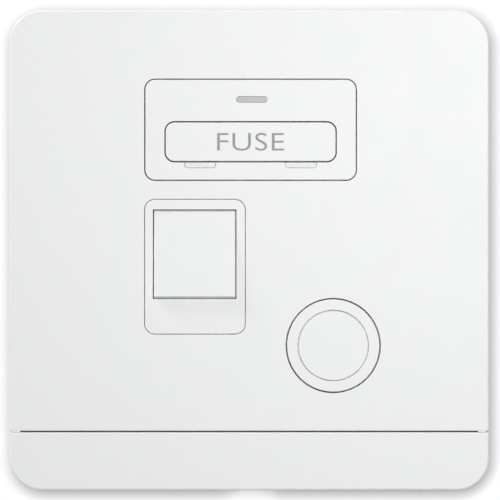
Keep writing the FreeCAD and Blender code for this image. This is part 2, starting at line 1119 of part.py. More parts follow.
def rocker():
    """The rocker: a cap with arched ends, side webs with stub axles, and two plunger tubes."""
    arc = window_arc - rocker_arc_gap
    cap = rod_x(rocker_x - rocker_half, rocker_x + rocker_half, pivot_y, rocker_z, arc)
    cap = cap.common(
        centred_slab(
            rocker_x,
            rocker_z,
            rocker_width + 2 * beyond,
            4 * arc,
            rocker_front,
            rocker_front + rocker_skirt,
        )
    )
    cap = bevelled(cap, rocker_front, front_edge)
    web_inner = rocker_half - rocker_web
    hollow = rod_x(rocker_x - web_inner, rocker_x + web_inner, pivot_y, rocker_z, arc - rocker_web)
    hollow = hollow.common(
        slab(
            rocker_x - web_inner,
            rocker_x + web_inner,
            rocker_front + rocker_wall,
            pivot_y,
            rocker_z - 2 * arc,
            rocker_z + 2 * arc,
        )
    )
    cap = cap.cut(hollow)
    inside = rocker_front + rocker_wall
    additions = []
    for side in (-1, 1):
        x0 = rocker_x + min(side * web_inner, side * rocker_half)
        x1 = rocker_x + max(side * web_inner, side * rocker_half)
        hub_radius = cheek_radius - cheek_side_gap
        additions.append(rod_x(x0, x1, pivot_y, rocker_z, hub_radius))
        additions.append(
            slab(x0, x1, inside, pivot_y, rocker_z - hub_radius, rocker_z + hub_radius)
        )
        axle_end = cheek_outer - axle_end_gap
        additions.append(
            rod_x(
                rocker_x + min(side * web_inner, side * axle_end),
                rocker_x + max(side * web_inner, side * axle_end),
                pivot_y,
                rocker_z,
                axle_radius,
            )
        )
        additions.append(
            rod_y(
                rocker_x + side * pole_spacing / 2,
                rocker_z,
                tube_radius,
                inside - rocker_wall / 2,
                pivot_y + tube_reach,
            )
        )
    additions.append(
        centred_slab(
            rocker_x,
            rocker_z,
            2 * web_inner,
            rocker_web,
            inside - rocker_wall / 2,
            pivot_y + axle_radius,
        )
    )
    body = join(cap, additions)
    bores = [
        rod_y(
            rocker_x + side * pole_spacing / 2,
            rocker_z,
            tube_radius - tube_wall,
            inside,
            pivot_y + tube_reach + beyond,
        )
        for side in (-1, 1)
    ]
    return turned(body.cut(Part.makeCompound(bores)), -rocker_tilt, pivot_y, rocker_z)


def plunger_rear():
    """Place along Y of the plunger's spring seat, before the rocker is tilted."""
    return pivot_y + plunger_reach - plunger_neck - plunger_body_length


def plunger(x):
    """Nylon plunger: a round body that slides in the rocker's tube and a blade with a round nose."""
    tip_y = pivot_y + plunger_reach
    body = rod_y(
        x,
        rocker_z,
        tube_radius - tube_wall - plunger_play,
        plunger_rear(),
        tip_y - plunger_neck,
    )
    neck = centred_slab(
        x,
        rocker_z,
        plunger_nose_width,
        2 * plunger_tip_radius,
        tip_y - plunger_neck,
        tip_y,
    )
    nose = rod_x(
        x - plunger_nose_width / 2,
        x + plunger_nose_width / 2,
        tip_y,
        rocker_z,
        plunger_tip_radius,
    )
    return turned(join(body, [neck, nose]), -rocker_tilt, pivot_y, rocker_z)


def plunger_spring(x):
    """Coil spring of square wire between the tube's end and the plunger."""
    seat = rocker_front + rocker_wall + spring_end_gap + spring_wire
    length = plunger_rear() - spring_end_gap - spring_wire - seat
    turns = round(length / spring_pitch)
    radius = tube_radius - tube_wall - spring_play - spring_wire
    coil = Part.makeHelix(length / turns, length, radius)
    section = [
        Vector(radius + x * spring_wire, 0, z * spring_wire)
        for x, z in ((-1, -1), (1, -1), (1, 1), (-1, 1), (-1, -1))
    ]
    spring = Part.Wire(coil.Edges).makePipeShell([Part.makePolygon(section)], True, True)
    spring.rotate(Vector(0, 0, 0), Vector(1, 0, 0), -90)
    spring.translate(Vector(x, seat, rocker_z))
    return turned(spring, -rocker_tilt, pivot_y, rocker_z)


def terminal(x, z, height, front, screw_offsets):
    """Brass terminal block with a wire bore along Z and its tapped screw holes from the rear."""
    rear = front + terminal_depth
    block = centred_slab(x, z, terminal_width, height, front, rear)
    bore_y = front + terminal_bore_setback
    cuts = [rod_z(x, bore_y, terminal_bore_radius, z - height, z + height)]
    for offset in screw_offsets:
        cuts.append(
            rod_y(x, z + offset, terminal_screw_radius + terminal_screw_play, bore_y, rear + beyond)
        )
    return block.cut(Part.makeCompound(cuts))


def terminal_screws():
    """All six headless clamping screws, backed off."""
    screws = []
    for x, z, height, front, screw_offsets in terminals.values():
        rear = front + terminal_depth + terminal_screw_stand
        tip = front + terminal_bore_setback + terminal_bore_radius - terminal_screw_reach
        screws += [rod_y(x, z + offset, terminal_screw_radius, tip, rear) for offset in screw_offsets]
    return Part.makeCompound(screws)


def housing_screws():
    """Two countersunk screws from the frame's front into the rear moulding."""
    screws = []
    for x, z in housing_screws_at:
        head = Part.makeCone(
            housing_head_radius,
            housing_screw_radius,
            housing_head_depth,
            Vector(x, frame_front, z),
            Vector(0, 1, 0),
        )
        shank = rod_y(x, z, housing_screw_radius, frame_front, frame_front + housing_screw_length)
        screws.append(join(head, [shank]))
    return Part.makeCompound(screws)


def flex_outlet_cover():
    """Round cover with a scored knock-out and a flange that the fascia holds against the frame."""
    radius = outlet_radius - outlet_gap
    disc = rod_y(outlet_x, outlet_z, radius, plate_front, frame_front)
    disc = bevelled(disc, plate_front, front_edge)
    flange = rod_y(outlet_x, outlet_z, outlet_radius + outlet_flange, flange_front, frame_front)
    hollow = rod_y(
        outlet_x, outlet_z, radius - outlet_wall, plate_front + outlet_face, frame_front + beyond
    )
    body = join(disc, [flange]).cut(hollow)
    groove_rear = plate_front + knockout_groove_depth
    outer_edge = rod_y(
        outlet_x, outlet_z, knockout_radius + knockout_groove / 2, plate_front - beyond, groove_rear
    )
    inner_edge = rod_y(
        outlet_x, outlet_z, knockout_radius - knockout_groove / 2, plate_front - beyond, groove_rear
    )
    return body.cut(outer_edge.cut(inner_edge))


def clamp_heights():
    return [outlet_z - clamp_screw_spacing / 2, outlet_z + clamp_screw_spacing / 2]


def cord_clamp_bar():
    """Bar across its two bosses, with a gripping ridge towards the cord."""
    front = floor_rear + clamp_boss_height
    rear = front + clamp_bar_thickness
    length = clamp_screw_spacing + 2 * clamp_bar_overhang
    bar = centred_slab(clamp_x, outlet_z, clamp_bar_width, length, front, rear)
    bar = bevelled(bar, rear, clamp_bar_bevel)
    ridge = centred_slab(
        clamp_x,
        outlet_z,
        clamp_bar_ridge,
        clamp_screw_spacing - clamp_boss - clamp_bar_ridge,
        front - clamp_bar_ridge,
        front,
    )
    holes = [
        rod_y(clamp_x, z, clamp_screw_radius + clamp_screw_play, front - beyond, rear + beyond)
        for z in clamp_heights()
    ]
    return join(bar, [ridge]).cut(Part.makeCompound(holes))


def cord_clamp_screws():
    rear = floor_rear + clamp_boss_height + clamp_bar_thickness
    screws = []
    for z in clamp_heights():
        shank = rod_y(clamp_x, z, clamp_screw_radius, rear - clamp_screw_length, rear)
        head = rod_y(clamp_x, z, clamp_head_radius, rear, rear + clamp_head_height)
        screws.append(join(head, [shank]))
    return Part.makeCompound(screws)


def indicator_lens():
    """Light guide: the pill in the module's slot, its flange behind and the pipe to the lamp."""
    stem = pill(
        indicator_x,
        indicator_z,
        indicator_length - 2 * indicator_gap,
        indicator_height - 2 * indicator_gap,
        plate_front,
        frame_front,
    )
    flange_rear = frame_front + lens_flange_thickness
    flange = centred_slab(
        indicator_x,
        indicator_z,
        lens_flange_length,
        lens_flange_height,
        frame_front,
        flange_rear,
    )
    pipe = centred_slab(
        indicator_x,
        indicator_z,
        lens_pipe_length,
        lens_pipe_height,
        flange_rear,
        flange_rear + lens_pipe_depth,
    )
    return join(stem, [flange, pipe])


def indicator_led():
    """Flat lamp chip on the board, with a bevelled window towards the light guide."""
    body = centred_slab(indicator_x, indicator_z, led_length, led_height, led_front, board_front)
    return bevelled(body, led_front, led_bevel)


def lamp_board():
    return centred_slab(
        (board_left + board_right) / 2,
        indicator_z,
        board_right - board_left,
        board_height,
        board_front,
        board_rear,
    )


def lamp_resistor():
    """Chip resistor on the board, with a raised metal band at each end."""
    front = board_front - resistor_thickness
    body = centred_slab(
        resistor_x, indicator_z, resistor_length, resistor_height, front, board_front
    )
    bands = [
        centred_slab(
            resistor_x + side * (resistor_length - resistor_band) / 2,
            indicator_z,
            resistor_band,
            resistor_height + 2 * resistor_band_rise,
            front - resistor_band_rise,
            board_front,
        )
        for side in (-1, 1)
    ]
    return join(body, bands)


def lamp_leads():
    """Two square pins from the board, to the load clip's strip and to the neutral link."""
    return Part.makeCompound(
        [
            centred_slab(load_clip_x, indicator_z, lead_size, lead_size, board_rear, strip_front),
            centred_slab(neutral_x, indicator_z, lead_size, lead_size, board_rear, floor_rear),
        ]
    )


def terminal_tower(x, z, height, grow):
    """Space of one terminal block, grown by a clearance or by a clearance and a wall."""
    return centred_slab(
        x,
        z,
        terminal_width + 2 * grow,
        height + 2 * grow,
        floor_rear,
        moulding_rear,
    )


def rear_moulding():
    """Housing: front cavities for the drawer, the switch and the flex, rear pockets for terminals."""
    left = -moulding_width / 2
    right = moulding_width / 2
    middle_z = (moulding_top + moulding_bottom) / 2
    height = moulding_top - moulding_bottom
    body = rounded_slab(
        0, middle_z, moulding_width, height, moulding_corner, frame_rear, moulding_rear
    )
    recess = rounded_slab(
        0,
        middle_z,
        moulding_width - 2 * moulding_wall,
        height - 2 * moulding_wall,
        moulding_corner - moulding_wall,
        floor_rear,
        moulding_rear + beyond,
    )
    body = body.cut(recess)
    fuse_left = module_x - fuse_window_half
    fuse_right = module_x + fuse_window_half
    switch_left = rocker_x - switch_window_half
    switch_right = rocker_x + switch_window_half
    switch_low = rocker_z - mechanism_half_height
    switch_high = rocker_z + mechanism_half_height
    pockets = [
        (fuse_left, fuse_right, fuse_window_bottom, fuse_window_top),
        (switch_left, switch_right, switch_low, switch_high),
        (
            switch_right + cavity_wall,
            right - moulding_wall,
            moulding_bottom + moulding_wall + housing_head_radius * 2,
            fuse_window_bottom - cavity_wall,
        ),
        (
            left + moulding_wall + housing_head_radius,
            switch_right,
            moulding_bottom + moulding_wall,
            switch_low - cavity_wall,
        ),
        (
            left + moulding_wall,
            fuse_left - cavity_wall,
            fuse_window_bottom,
            housing_screw_high_z - housing_head_radius * 2,
        ),
        (
            fuse_right + cavity_wall,
            right - moulding_wall,
            fuse_window_bottom,
            housing_screw_high_z - housing_head_radius * 2,
        ),
    ]
    cavities = [
        slab(x0, x1, frame_rear - beyond, floor_front, z0, z1) for x0, x1, z0, z1 in pockets
    ]
    body = body.cut(Part.makeCompound(cavities))

    tube_outer = flex_hole_radius + flex_tube_wall
    additions = [
        rod_y(outlet_x, outlet_z, tube_outer, frame_rear, floor_rear + flex_rim_height)
    ]
    additions += [
        centred_slab(clamp_x, z, clamp_boss, clamp_boss, floor_rear, floor_rear + clamp_boss_height)
        for z in clamp_heights()
    ]
    additions.append(
        slab(
            rocker_x - barrier_thickness / 2,
            rocker_x + barrier_thickness / 2,
            floor_front - barrier_reach,
            floor_front,
            switch_low,
            switch_high,
        )
    )
    additions += [stop_rib_at(x) for x in (line_x, neutral_x)]
    additions += [
        centred_slab(x, indicator_z, board_post, board_post, board_rear, floor_front)
        for x in (board_left + board_post_inset, board_right - board_post_inset)
    ]
    walls = pocket_clearance + tower_wall
    additions += [
        terminal_tower(x, z, tall, walls) for x, z, tall, front, screws in terminals.values()
    ]
    body = join(body, additions)

    cuts = [
        terminal_tower(x, z, tall, pocket_clearance)
        for x, z, tall, front, screws in terminals.values()
    ]
    cuts += [wire_notch(*place) for place in terminals.values()]
    cuts.append(rod_y(outlet_x, outlet_z, flex_hole_radius, frame_rear - beyond, moulding_rear + beyond))
    cuts += [foot_channel(x, z_low, z_high) for x, z_low, z_high in foot_runs()]
    cuts += strip_slots(switch_high)
    cuts += [
        rod_y(
            x,
            z,
            housing_screw_radius + housing_screw_play,
            frame_rear - beyond,
            frame_front + housing_screw_length + beyond,
        )
        for x, z in housing_screws_at
    ]
    cuts += [
        rod_y(
            clamp_x,
            z,
            clamp_screw_radius + clamp_screw_play,
            floor_rear,
            floor_rear + clamp_boss_height + beyond,
        )
        for z in clamp_heights()
    ]
    return body.cut(Part.makeCompound(cuts))


def foot_runs():
    """Where the strips lie on the rear of the floor: middle x, lowest z and highest z."""
    neutral_low = contact_bar_z(tip_arm) - tip_radius - strip_thickness
    post_low = rocker_z - mechanism_half_height + strip_thickness
    return [
        (neutral_x, neutral_low, load_z),
        (line_x, feed_z, post_low + strip_thickness),
        (neutral_x, feed_z, post_low + strip_thickness),
    ]


def foot_channel(x, z_low, z_high):
    """Room for one strip where it passes under the wall of a terminal's pocket."""
    return slab(
        x - leg_width / 2 - slot_clearance,
        x + leg_width / 2 + slot_clearance,
        floor_rear,
        foot_rear + slot_clearance,
        z_low - slot_clearance,
        z_high + slot_clearance,
    )


def stop_rib_at(x):
    """Bridge over the post's strip, under the rocking contact's lower arm, which it stops at off."""
    tilt = math.radians(contact_tilt)
    reach = stop_rib_arm + stop_rib / 2
    rear_face = contact_thickness - contact_lift
    contact_rear = contact_y + rear_face * math.cos(tilt) + reach * math.sin(tilt)
    bridge = centred_slab(
        x,
        rocker_z - stop_rib_arm,
        leg_width + 2 * slot_clearance + 2 * stop_rib,
        stop_rib,
        contact_rear + stop_gap,
        floor_front,
    )
    passage = centred_slab(
        x,
        rocker_z - stop_rib_arm,
        leg_width + 2 * slot_clearance,
        2 * stop_rib,
        strip_front - slot_clearance,
        floor_front,
    )
    return bridge.cut(passage)


def wire_notch(x, z, height, front, screw_offsets):
    """Notches in line with a terminal's bore, open to the rear, so that a wire can be laid in."""
    low = z - height / 2 - pocket_clearance - tower_wall
    high = z + height / 2 + pocket_clearance + tower_wall
    if z > earth_z + earth_height / 2:
        high = moulding_top + beyond
    if z < earth_z - earth_height / 2:
        low = moulding_bottom - beyond
    return slab(
        x - wire_notch_width / 2,
        x + wire_notch_width / 2,
        front + terminal_bore_setback - wire_notch_width / 2,
        moulding_rear + beyond,
        low,
        high,
    )


def strip_slots(switch_high):
    """Slots in the floor and in one wall, through which the metal strips and leads pass."""
    slots = []
    clip_top = indicator_z + board_height / 2
    neutral_low = contact_bar_z(tip_arm) - tip_radius - strip_thickness
    post_low = rocker_z - mechanism_half_height + strip_thickness
    for x, z in (
        (load_clip_x, clip_top - strip_thickness),
        (neutral_x, neutral_low),
        (line_x, post_low),
        (neutral_x, post_low),
    ):
        slots.append(
            slab(
                x - leg_width / 2 - slot_clearance,
                x + leg_width / 2 + slot_clearance,
                floor_front - beyond,
                floor_rear + beyond,
                z - slot_clearance,
                z + strip_thickness + slot_clearance,
            )
        )
    slots.append(
        slab(
            line_x - contact_width / 2 - slot_clearance,
            supply_clip_x + clip_width / 2 + slot_clearance,
            strip_front - slot_clearance,
            floor_front,
            switch_high - beyond,
            fuse_window_bottom + beyond,
        )
    )
    slots.append(
        centred_slab(
            neutral_x,
            indicator_z,
            lead_size + 2 * slot_clearance,
            lead_size + 2 * slot_clearance,
            floor_front - beyond,
            floor_rear + beyond,
        )
    )
    return slots


parts = {
    "mounting_frame": mounting_frame(),
    "fascia": fascia(),
    "lower_strip": lower_strip(),
    "fuse_module": fuse_module(),
    "fuse_carrier": fuse_carrier(),
    "fuse_tube": fuse_tube(),
    "fuse_cap_left": fuse_cap(-1),
    "fuse_cap_right": fuse_cap(1),
    "fuse_clip_supply": fuse_clip_supply(),
    "fuse_clip_load": fuse_clip_load(),
    "indicator_lens": indicator_lens(),
    "indicator_led": indicator_led(),
    "lamp_board": lamp_board(),
    "lamp_resistor": lamp_resistor(),
    "lamp_leads": lamp_leads(),
    "switch_surround": switch_surround(),
    "rocker": rocker(),
    "plunger_line": plunger(line_x),
    "plunger_neutral": plunger(neutral_x),
    "plunger_spring_line": plunger_spring(line_x),
    "plunger_spring_neutral": plunger_spring(neutral_x),
    "moving_contact_line": moving_contact(line_x, contact_tilt),
    "moving_contact_neutral": moving_contact(neutral_x, contact_tilt),
    "moving_tip_line": moving_tip(line_x, contact_tilt),
    "moving_tip_neutral": moving_tip(neutral_x, contact_tilt),
    "fixed_tip_line": fixed_tip(line_x),
    "fixed_tip_neutral": fixed_tip(neutral_x),
    "pivot_post_line": pivot_post(line_x),
    "pivot_post_neutral": pivot_post(neutral_x),
    "neutral_strip": neutral_strip(),
    "rear_moulding": rear_moulding(),
    "terminal_screws": terminal_screws(),
    "housing_screws": housing_screws(),
    "flex_outlet_cover": flex_outlet_cover(),
    "cord_clamp_bar": cord_clamp_bar(),
    "cord_clamp_screws": cord_clamp_screws(),
}
for name, place in terminals.items():
    parts[name] = terminal(*place)

os.makedirs("parts", exist_ok=True)
for name, shape in parts.items():
    shape.exportStep("parts/" + name + ".step")
    print(name, len(shape.Solids), "solids", round(shape.Volume, 2), "mm3", shape.isValid())
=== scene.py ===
import json
import math

import bpy
from bpy.props import FloatProperty, FloatVectorProperty, PointerProperty, StringProperty
from bpy.types import Operator, Panel, PropertyGroup
from mathutils import Matrix, Vector

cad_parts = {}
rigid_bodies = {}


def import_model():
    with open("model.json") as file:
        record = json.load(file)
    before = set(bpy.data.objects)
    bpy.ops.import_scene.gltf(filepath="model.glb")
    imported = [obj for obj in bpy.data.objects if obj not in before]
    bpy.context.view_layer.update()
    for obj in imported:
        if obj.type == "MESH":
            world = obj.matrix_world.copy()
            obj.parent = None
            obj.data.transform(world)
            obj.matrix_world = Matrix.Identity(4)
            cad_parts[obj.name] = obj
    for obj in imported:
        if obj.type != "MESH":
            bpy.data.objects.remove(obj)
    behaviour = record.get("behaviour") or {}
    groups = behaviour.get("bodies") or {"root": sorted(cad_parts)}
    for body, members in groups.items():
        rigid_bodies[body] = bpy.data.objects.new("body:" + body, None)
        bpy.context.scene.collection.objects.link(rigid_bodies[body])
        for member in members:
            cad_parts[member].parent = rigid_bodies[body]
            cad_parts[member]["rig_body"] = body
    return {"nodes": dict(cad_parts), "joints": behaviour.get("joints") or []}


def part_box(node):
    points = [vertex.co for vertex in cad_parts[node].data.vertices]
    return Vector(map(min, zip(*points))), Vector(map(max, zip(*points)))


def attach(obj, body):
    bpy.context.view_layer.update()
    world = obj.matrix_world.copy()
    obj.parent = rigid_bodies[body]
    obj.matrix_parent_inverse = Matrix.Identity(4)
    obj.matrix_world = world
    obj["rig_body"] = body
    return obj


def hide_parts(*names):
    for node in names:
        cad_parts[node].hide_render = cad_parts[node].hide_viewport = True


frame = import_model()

bl_info = {
    "name": "Fused Spur Unit",
    "version": (1, 0, 0),
    "blender": (4, 5, 0),
    "location": "View3D > Sidebar > Spur Unit",
    "description": "Models and finishes a switched, fused connection unit on its packed frame",
    "category": "Object",
}

MM = 0.001
TINY = 0.02 * MM
MERGE = 0.002 * MM
PAST = 1.0 * MM
QUARTER_TURN = math.radians(90)
SMOOTH_ANGLE = math.radians(35)
DEPTHWISE = Matrix.Rotation(-QUARTER_TURN, 4, "X")

# Places read from the frame

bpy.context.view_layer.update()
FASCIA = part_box("fascia")
PLATE_FRONT = FASCIA[0].y
PLATE_HALF = FASCIA[1].x
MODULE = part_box("fuse_module")
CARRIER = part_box("fuse_carrier")
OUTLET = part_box("flex_outlet_cover")
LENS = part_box("indicator_lens")
FLOOR_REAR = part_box("lamp_leads")[1].y
PIVOT = Vector(next(joint["pos_m"] for joint in frame["joints"] if joint["name"] == "rocker_tilt"))

# Sizes that several pieces share

REST_TILT = math.radians(4)
WALL_FRONT = 0.05 * MM
PACKED_BEVEL = 0.4 * MM
OUTLET_LAP = 0.5 * MM
FLANGE_FRONT = MODULE[0].y + 2.1 * MM
INSERT_REAR = MODULE[0].y + 3.0 * MM
PILL_LENGTH = 5.6 * MM
PILL_HEIGHT = 1.13 * MM
PILL_CORNER = 0.56 * MM
TEXT_SIZE_PER_CAPITAL = 1.4


def middle(box):
    """Middle point of a box, given as its lowest and highest corner."""
    return (box[0] + box[1]) / 2


def width_of(box):
    return box[1].x - box[0].x


def height_of(box):
    return box[1].z - box[0].z


# Properties


def size_property(name, description, default):
    """A size in metres."""
    return FloatProperty(name=name, description=description, default=default, unit="LENGTH")


def share_property(name, description, default):
    """A share from 0 to 1."""
    return FloatProperty(name=name, description=description, default=default, min=0, max=1)


def colour_property(name, description, default):
    """A base colour."""
    return FloatVectorProperty(
        name=name, description=description, default=default, subtype="COLOR", min=0, max=1
    )


class SpurSizes(PropertyGroup):
    """Sizes of the visible mouldings, in metres."""

    corner: size_property("Plate Corner", "Radius of the plate's four corners", 5.8 * MM)
    edge: size_property("Plate Edge", "Rounding of the two lines of the plate's front edge", 0.1 * MM)
    front_reach: size_property(
        "Front Reach", "How far the flat front reaches out over the bevel of the packed plate", 0.2 * MM
    )
    easing: size_property("Edge Easing", "Rounding of the small sharp edges of moulded pieces", 0.07 * MM)
    metal_easing: size_property(
        "Metal Easing", "Rounding of the sharp edges of stamped and turned metal", 0.04 * MM
    )
    letter_height: size_property(
        "Letter Height", "Height of the capital letters on the fuse drawer", 3.2 * MM
    )
    word_width: size_property("Word Width", "Width of the word on the fuse drawer", 12.0 * MM)


class SpurColours(PropertyGroup):
    """Base colours of the finishes."""

    cover: colour_property("Cover", "White of the front mouldings", (0.855, 0.862, 0.87))
    lettering: colour_property("Lettering", "Grey of the printed word", (0.3, 0.3, 0.31))
    lens: colour_property("Lens", "Grey of the unlit indicator", (0.46, 0.46, 0.47))
    wall: colour_property("Wall", "White of the wall behind the plate", (0.9, 0.9, 0.9))


# Mesh helpers


def deselect():
    bpy.ops.object.select_all(action="DESELECT")


def activate(obj):
    deselect()
    obj.select_set(True)
    bpy.context.view_layer.objects.active = obj


def edit_mode():
    bpy.ops.object.mode_set(mode="EDIT")


def object_mode():
    bpy.ops.object.mode_set(mode="OBJECT")


def edit_points(obj):
    """Edit mode with every point of the mesh selected."""
    activate(obj)
    edit_mode()
    bpy.ops.mesh.select_mode(type="VERT")
    bpy.ops.mesh.select_all(action="SELECT")


def apply_place(obj):
    activate(obj)
    bpy.ops.object.transform_apply(location=True, rotation=True, scale=True)


def apply_modifier(obj, kind, **settings):
    """Adds a modifier with its settings and applies it."""
    activate(obj)
    bpy.ops.object.modifier_add(type=kind)
    modifier = obj.modifiers[-1]
    for key, value in settings.items():
        setattr(modifier, key, value)
    bpy.ops.object.modifier_apply(modifier=modifier.name)


def clear_selection(obj, kind):
    """Leaves nothing selected in the mesh, ready to pick points, edges or faces."""
    activate(obj)
    edit_mode()
    bpy.ops.mesh.select_mode(type=kind)
    bpy.ops.mesh.select_all(action="DESELECT")
    object_mode()


def select_edges(obj, wanted):
    """Selects, in edit mode, the edges whose two end points pass the test."""
    clear_selection(obj, "EDGE")
    points = obj.data.vertices
    for edge in obj.data.edges:
        edge.select = wanted(points[edge.vertices[0]].co, points[edge.vertices[1]].co)
    edit_mode()


def select_faces(obj, wanted):
    """Selects, in edit mode, the faces whose normal passes the test."""
    clear_selection(obj, "FACE")
    for face in obj.data.polygons:
        face.select = wanted(face.normal)
    edit_mode()


def select_points(obj, wanted):
    """Selects, in edit mode, the points that pass the test and gives back their numbers."""
    clear_selection(obj, "VERT")
    chosen = []
    for point in obj.data.vertices:
        point.select = wanted(point.co)
        if point.select:
            chosen.append(point.index)
    edit_mode()
    return chosen


def add_block(name, x, z, width, height, front, rear):
    """A block from the front depth to the rear depth, centred on x and z."""
    deselect()
    place = (x, (front + rear) / 2, z)
    bpy.ops.mesh.primitive_cube_add(size=1, location=place, scale=(width, rear - front, height))
    obj = bpy.context.object
    obj.name = name
    apply_place(obj)
    return obj


def add_round(name, x, z, radius, front, rear, sides=128):
    """A disc or rod along the depth."""
    deselect()
    bpy.ops.mesh.primitive_cylinder_add(
        vertices=sides,
        radius=radius,
        depth=rear - front,
        location=(x, (front + rear) / 2, z),
        rotation=(QUARTER_TURN, 0, 0),
    )
    obj = bpy.context.object
    obj.name = name
    apply_place(obj)
    return obj


def add_profile(name, points):
    """An open line through the points, drawn by extruding one point."""
    deselect()
    bpy.ops.mesh.primitive_plane_add(size=MM, location=points[0])
    obj = bpy.context.object
    obj.name = name
    apply_place(obj)
    edit_points(obj)
    bpy.ops.mesh.merge(type="CENTER")
    for start, end in zip(points, points[1:]):
        step = Vector(end) - Vector(start)
        bpy.ops.mesh.extrude_vertices_move(TRANSFORM_OT_translate={"value": step})
    object_mode()
    return obj


def sweep(obj, pitch, turns, steps=24):
    """Winds the profile round the Z axis, or turns it there where the pitch is zero."""
    apply_modifier(
        obj, "SCREW", axis="Z", screw_offset=pitch, iterations=turns, steps=steps, render_steps=steps
    )
    edit_points(obj)
    bpy.ops.mesh.remove_doubles(threshold=MERGE)
    object_mode()


def close_ends(obj):
    """Fills the open ends and points every face outwards."""
    edit_points(obj)
    bpy.ops.mesh.fill_holes(sides=0)
    bpy.ops.mesh.select_all(action="SELECT")
    bpy.ops.mesh.normals_make_consistent(inside=False)
    object_mode()


def lathe(name, line, steps=64):
    """A turned solid along Z from its radius and height at each corner."""
    obj = add_profile(name, [(radius, 0, height) for radius, height in line])
    sweep(obj, 0, 1, steps)
    close_ends(obj)
    return obj


def threaded_rod(name, core, crest, pitch, low, high):
    """A ribbed rod along Z, cut flat at both ends and turned off the corners of its core."""
    lead_in = 1.43 * pitch
    spare_turns = 3
    off_corners = math.radians(3.7)
    line = [(core, 0), (core, 0.1), (crest, 0.45), (crest, 0.55), (core, 0.9), (core, 1)]
    start = low - lead_in
    rod = add_profile(name, [(radius, 0, start + share * pitch) for radius, share in line])
    sweep(rod, pitch, math.ceil((high - low) / pitch) + spare_turns)
    edit_points(rod)
    for height, upper in ((low, False), (high, True)):
        bpy.ops.mesh.select_all(action="SELECT")
        bpy.ops.mesh.bisect(
            plane_co=(0, 0, height),
            plane_no=(0, 0, 1),
            threshold=0.001 * MM,
            clear_inner=not upper,
            clear_outer=upper,
        )
    object_mode()
    close_ends(rod)
    place_mesh(rod, Matrix.Rotation(off_corners, 4, "Z"))
    return rod


def add_word(body, capital, thickness, turn=0, **settings):
    """A word that stands upright, turned round Z, and is made a mesh."""
    deselect()
    bpy.ops.object.text_add(rotation=(QUARTER_TURN, 0, turn))
    word = bpy.context.object
    word.data.body = body
    word.data.align_x = "CENTER"
    word.data.align_y = "CENTER"
    word.data.size = TEXT_SIZE_PER_CAPITAL * capital
    word.data.extrude = thickness / 2
    for key, value in settings.items():
        setattr(word.data, key, value)
    bpy.ops.object.convert(target="MESH")
    apply_place(word)
    return word


def bounds_of(obj):
    """Lowest and highest corner of a mesh."""
    points = [point.co for point in obj.data.vertices]
    low = Vector([min(point[axis] for point in points) for axis in range(3)])
    high = Vector([max(point[axis] for point in points) for axis in range(3)])
    return low, high


def place_mesh(obj, matrix):
    """Moves and turns the mesh itself, so that the object stays at the origin."""
    obj.matrix_world = matrix
    apply_place(obj)


def islands(node):
    """Boxes of the separate solids that share one node."""
    edit_points(node_copy(node))
    bpy.ops.mesh.separate(type="LOOSE")
    object_mode()
    solids = list(bpy.context.selected_objects)
    boxes = [bounds_of(solid) for solid in solids]
    for solid in solids:
        bpy.data.objects.remove(solid)
    return boxes


def join_all(pieces, name):
    """Joins the pieces into one object of that name."""
    activate(pieces[0])
    others = [piece.name for piece in pieces[1:]]
    for piece in pieces:
        piece.select_set(True)
    bpy.ops.object.join()
    joined = bpy.context.object
    for other in others:
        if other in bpy.data.objects:
            bpy.data.objects.remove(bpy.data.objects[other])
    joined.name = name
    return joined


def spread_copies(master, places):
    """Sets a copy along the depth at each place, given as a point and a turn, and joins them."""
    copies = []
    for point, turn in places:
        copy = master.copy()
        copy.data = master.data.copy()
        bpy.context.scene.collection.objects.link(copy)
        place_mesh(copy, Matrix.Translation(point) @ DEPTHWISE @ Matrix.Rotation(turn, 4, "Z"))
        copies.append(copy)
    name = master.name
    bpy.data.objects.remove(master)
    return join_all(copies, name)


def smooth(obj):
    activate(obj)
    bpy.ops.object.shade_smooth_by_angle(angle=SMOOTH_ANGLE)


def round_corners(obj, radius):
    """Rounds the four edges that run along the depth."""
    select_edges(obj, lambda a, b: abs(a.y - b.y) > TINY and (a.xz - b.xz).length < TINY)
    bpy.ops.mesh.bevel(offset=radius, segments=14, affect="EDGES")
    object_mode()


def round_front(obj, radius, segments=4):
    """Rounds the edges round the foremost face."""
    front = min(point.co.y for point in obj.data.vertices)
    select_edges(obj, lambda a, b: max(a.y, b.y) < front + TINY)
    bpy.ops.mesh.bevel(offset=radius, segments=segments, affect="EDGES")
    object_mode()


def rounded_block(name, x, z, width, height, corner, front, rear, edge=0):
    """A block with rounded corners and, if wanted, a rounded edge round its front."""
    obj = add_block(name, x, z, width, height, front, rear)
    round_corners(obj, corner)
    if edge:
        round_front(obj, edge)
    return obj


def combine(obj, other, operation):
    """Applies a boolean with the other mesh and removes that mesh."""
    apply_modifier(obj, "BOOLEAN", operation=operation, solver="EXACT", object=other)
    bpy.data.objects.remove(other)
    if not obj.data.polygons:
        raise RuntimeError(f"nothing is left of {obj.name} after {operation}")
    return obj


def carve(obj, *cutters):
    for cutter in cutters:
        combine(obj, cutter, "DIFFERENCE")
    return obj


def weld(obj, *others):
    for other in others:
        combine(obj, other, "UNION")
    return obj


def clean(obj):
    """Merges doubles and joins flat neighbours, so that only real edges are left."""
    edit_points(obj)
    bpy.ops.mesh.remove_doubles(threshold=MERGE)
    bpy.ops.mesh.dissolve_limited(angle_limit=math.radians(0.6))
    object_mode()


def ease(obj, width):
    """Rounds every sharp edge a little and keeps the flats flat."""
    apply_modifier(
        obj,
        "BEVEL",
        width=width,
        segments=2,
        limit_method="ANGLE",
        angle_limit=math.radians(40),
        use_clamp_overlap=True,
    )
    smooth(obj)
    apply_modifier(obj, "WEIGHTED_NORMAL", keep_sharp=True)


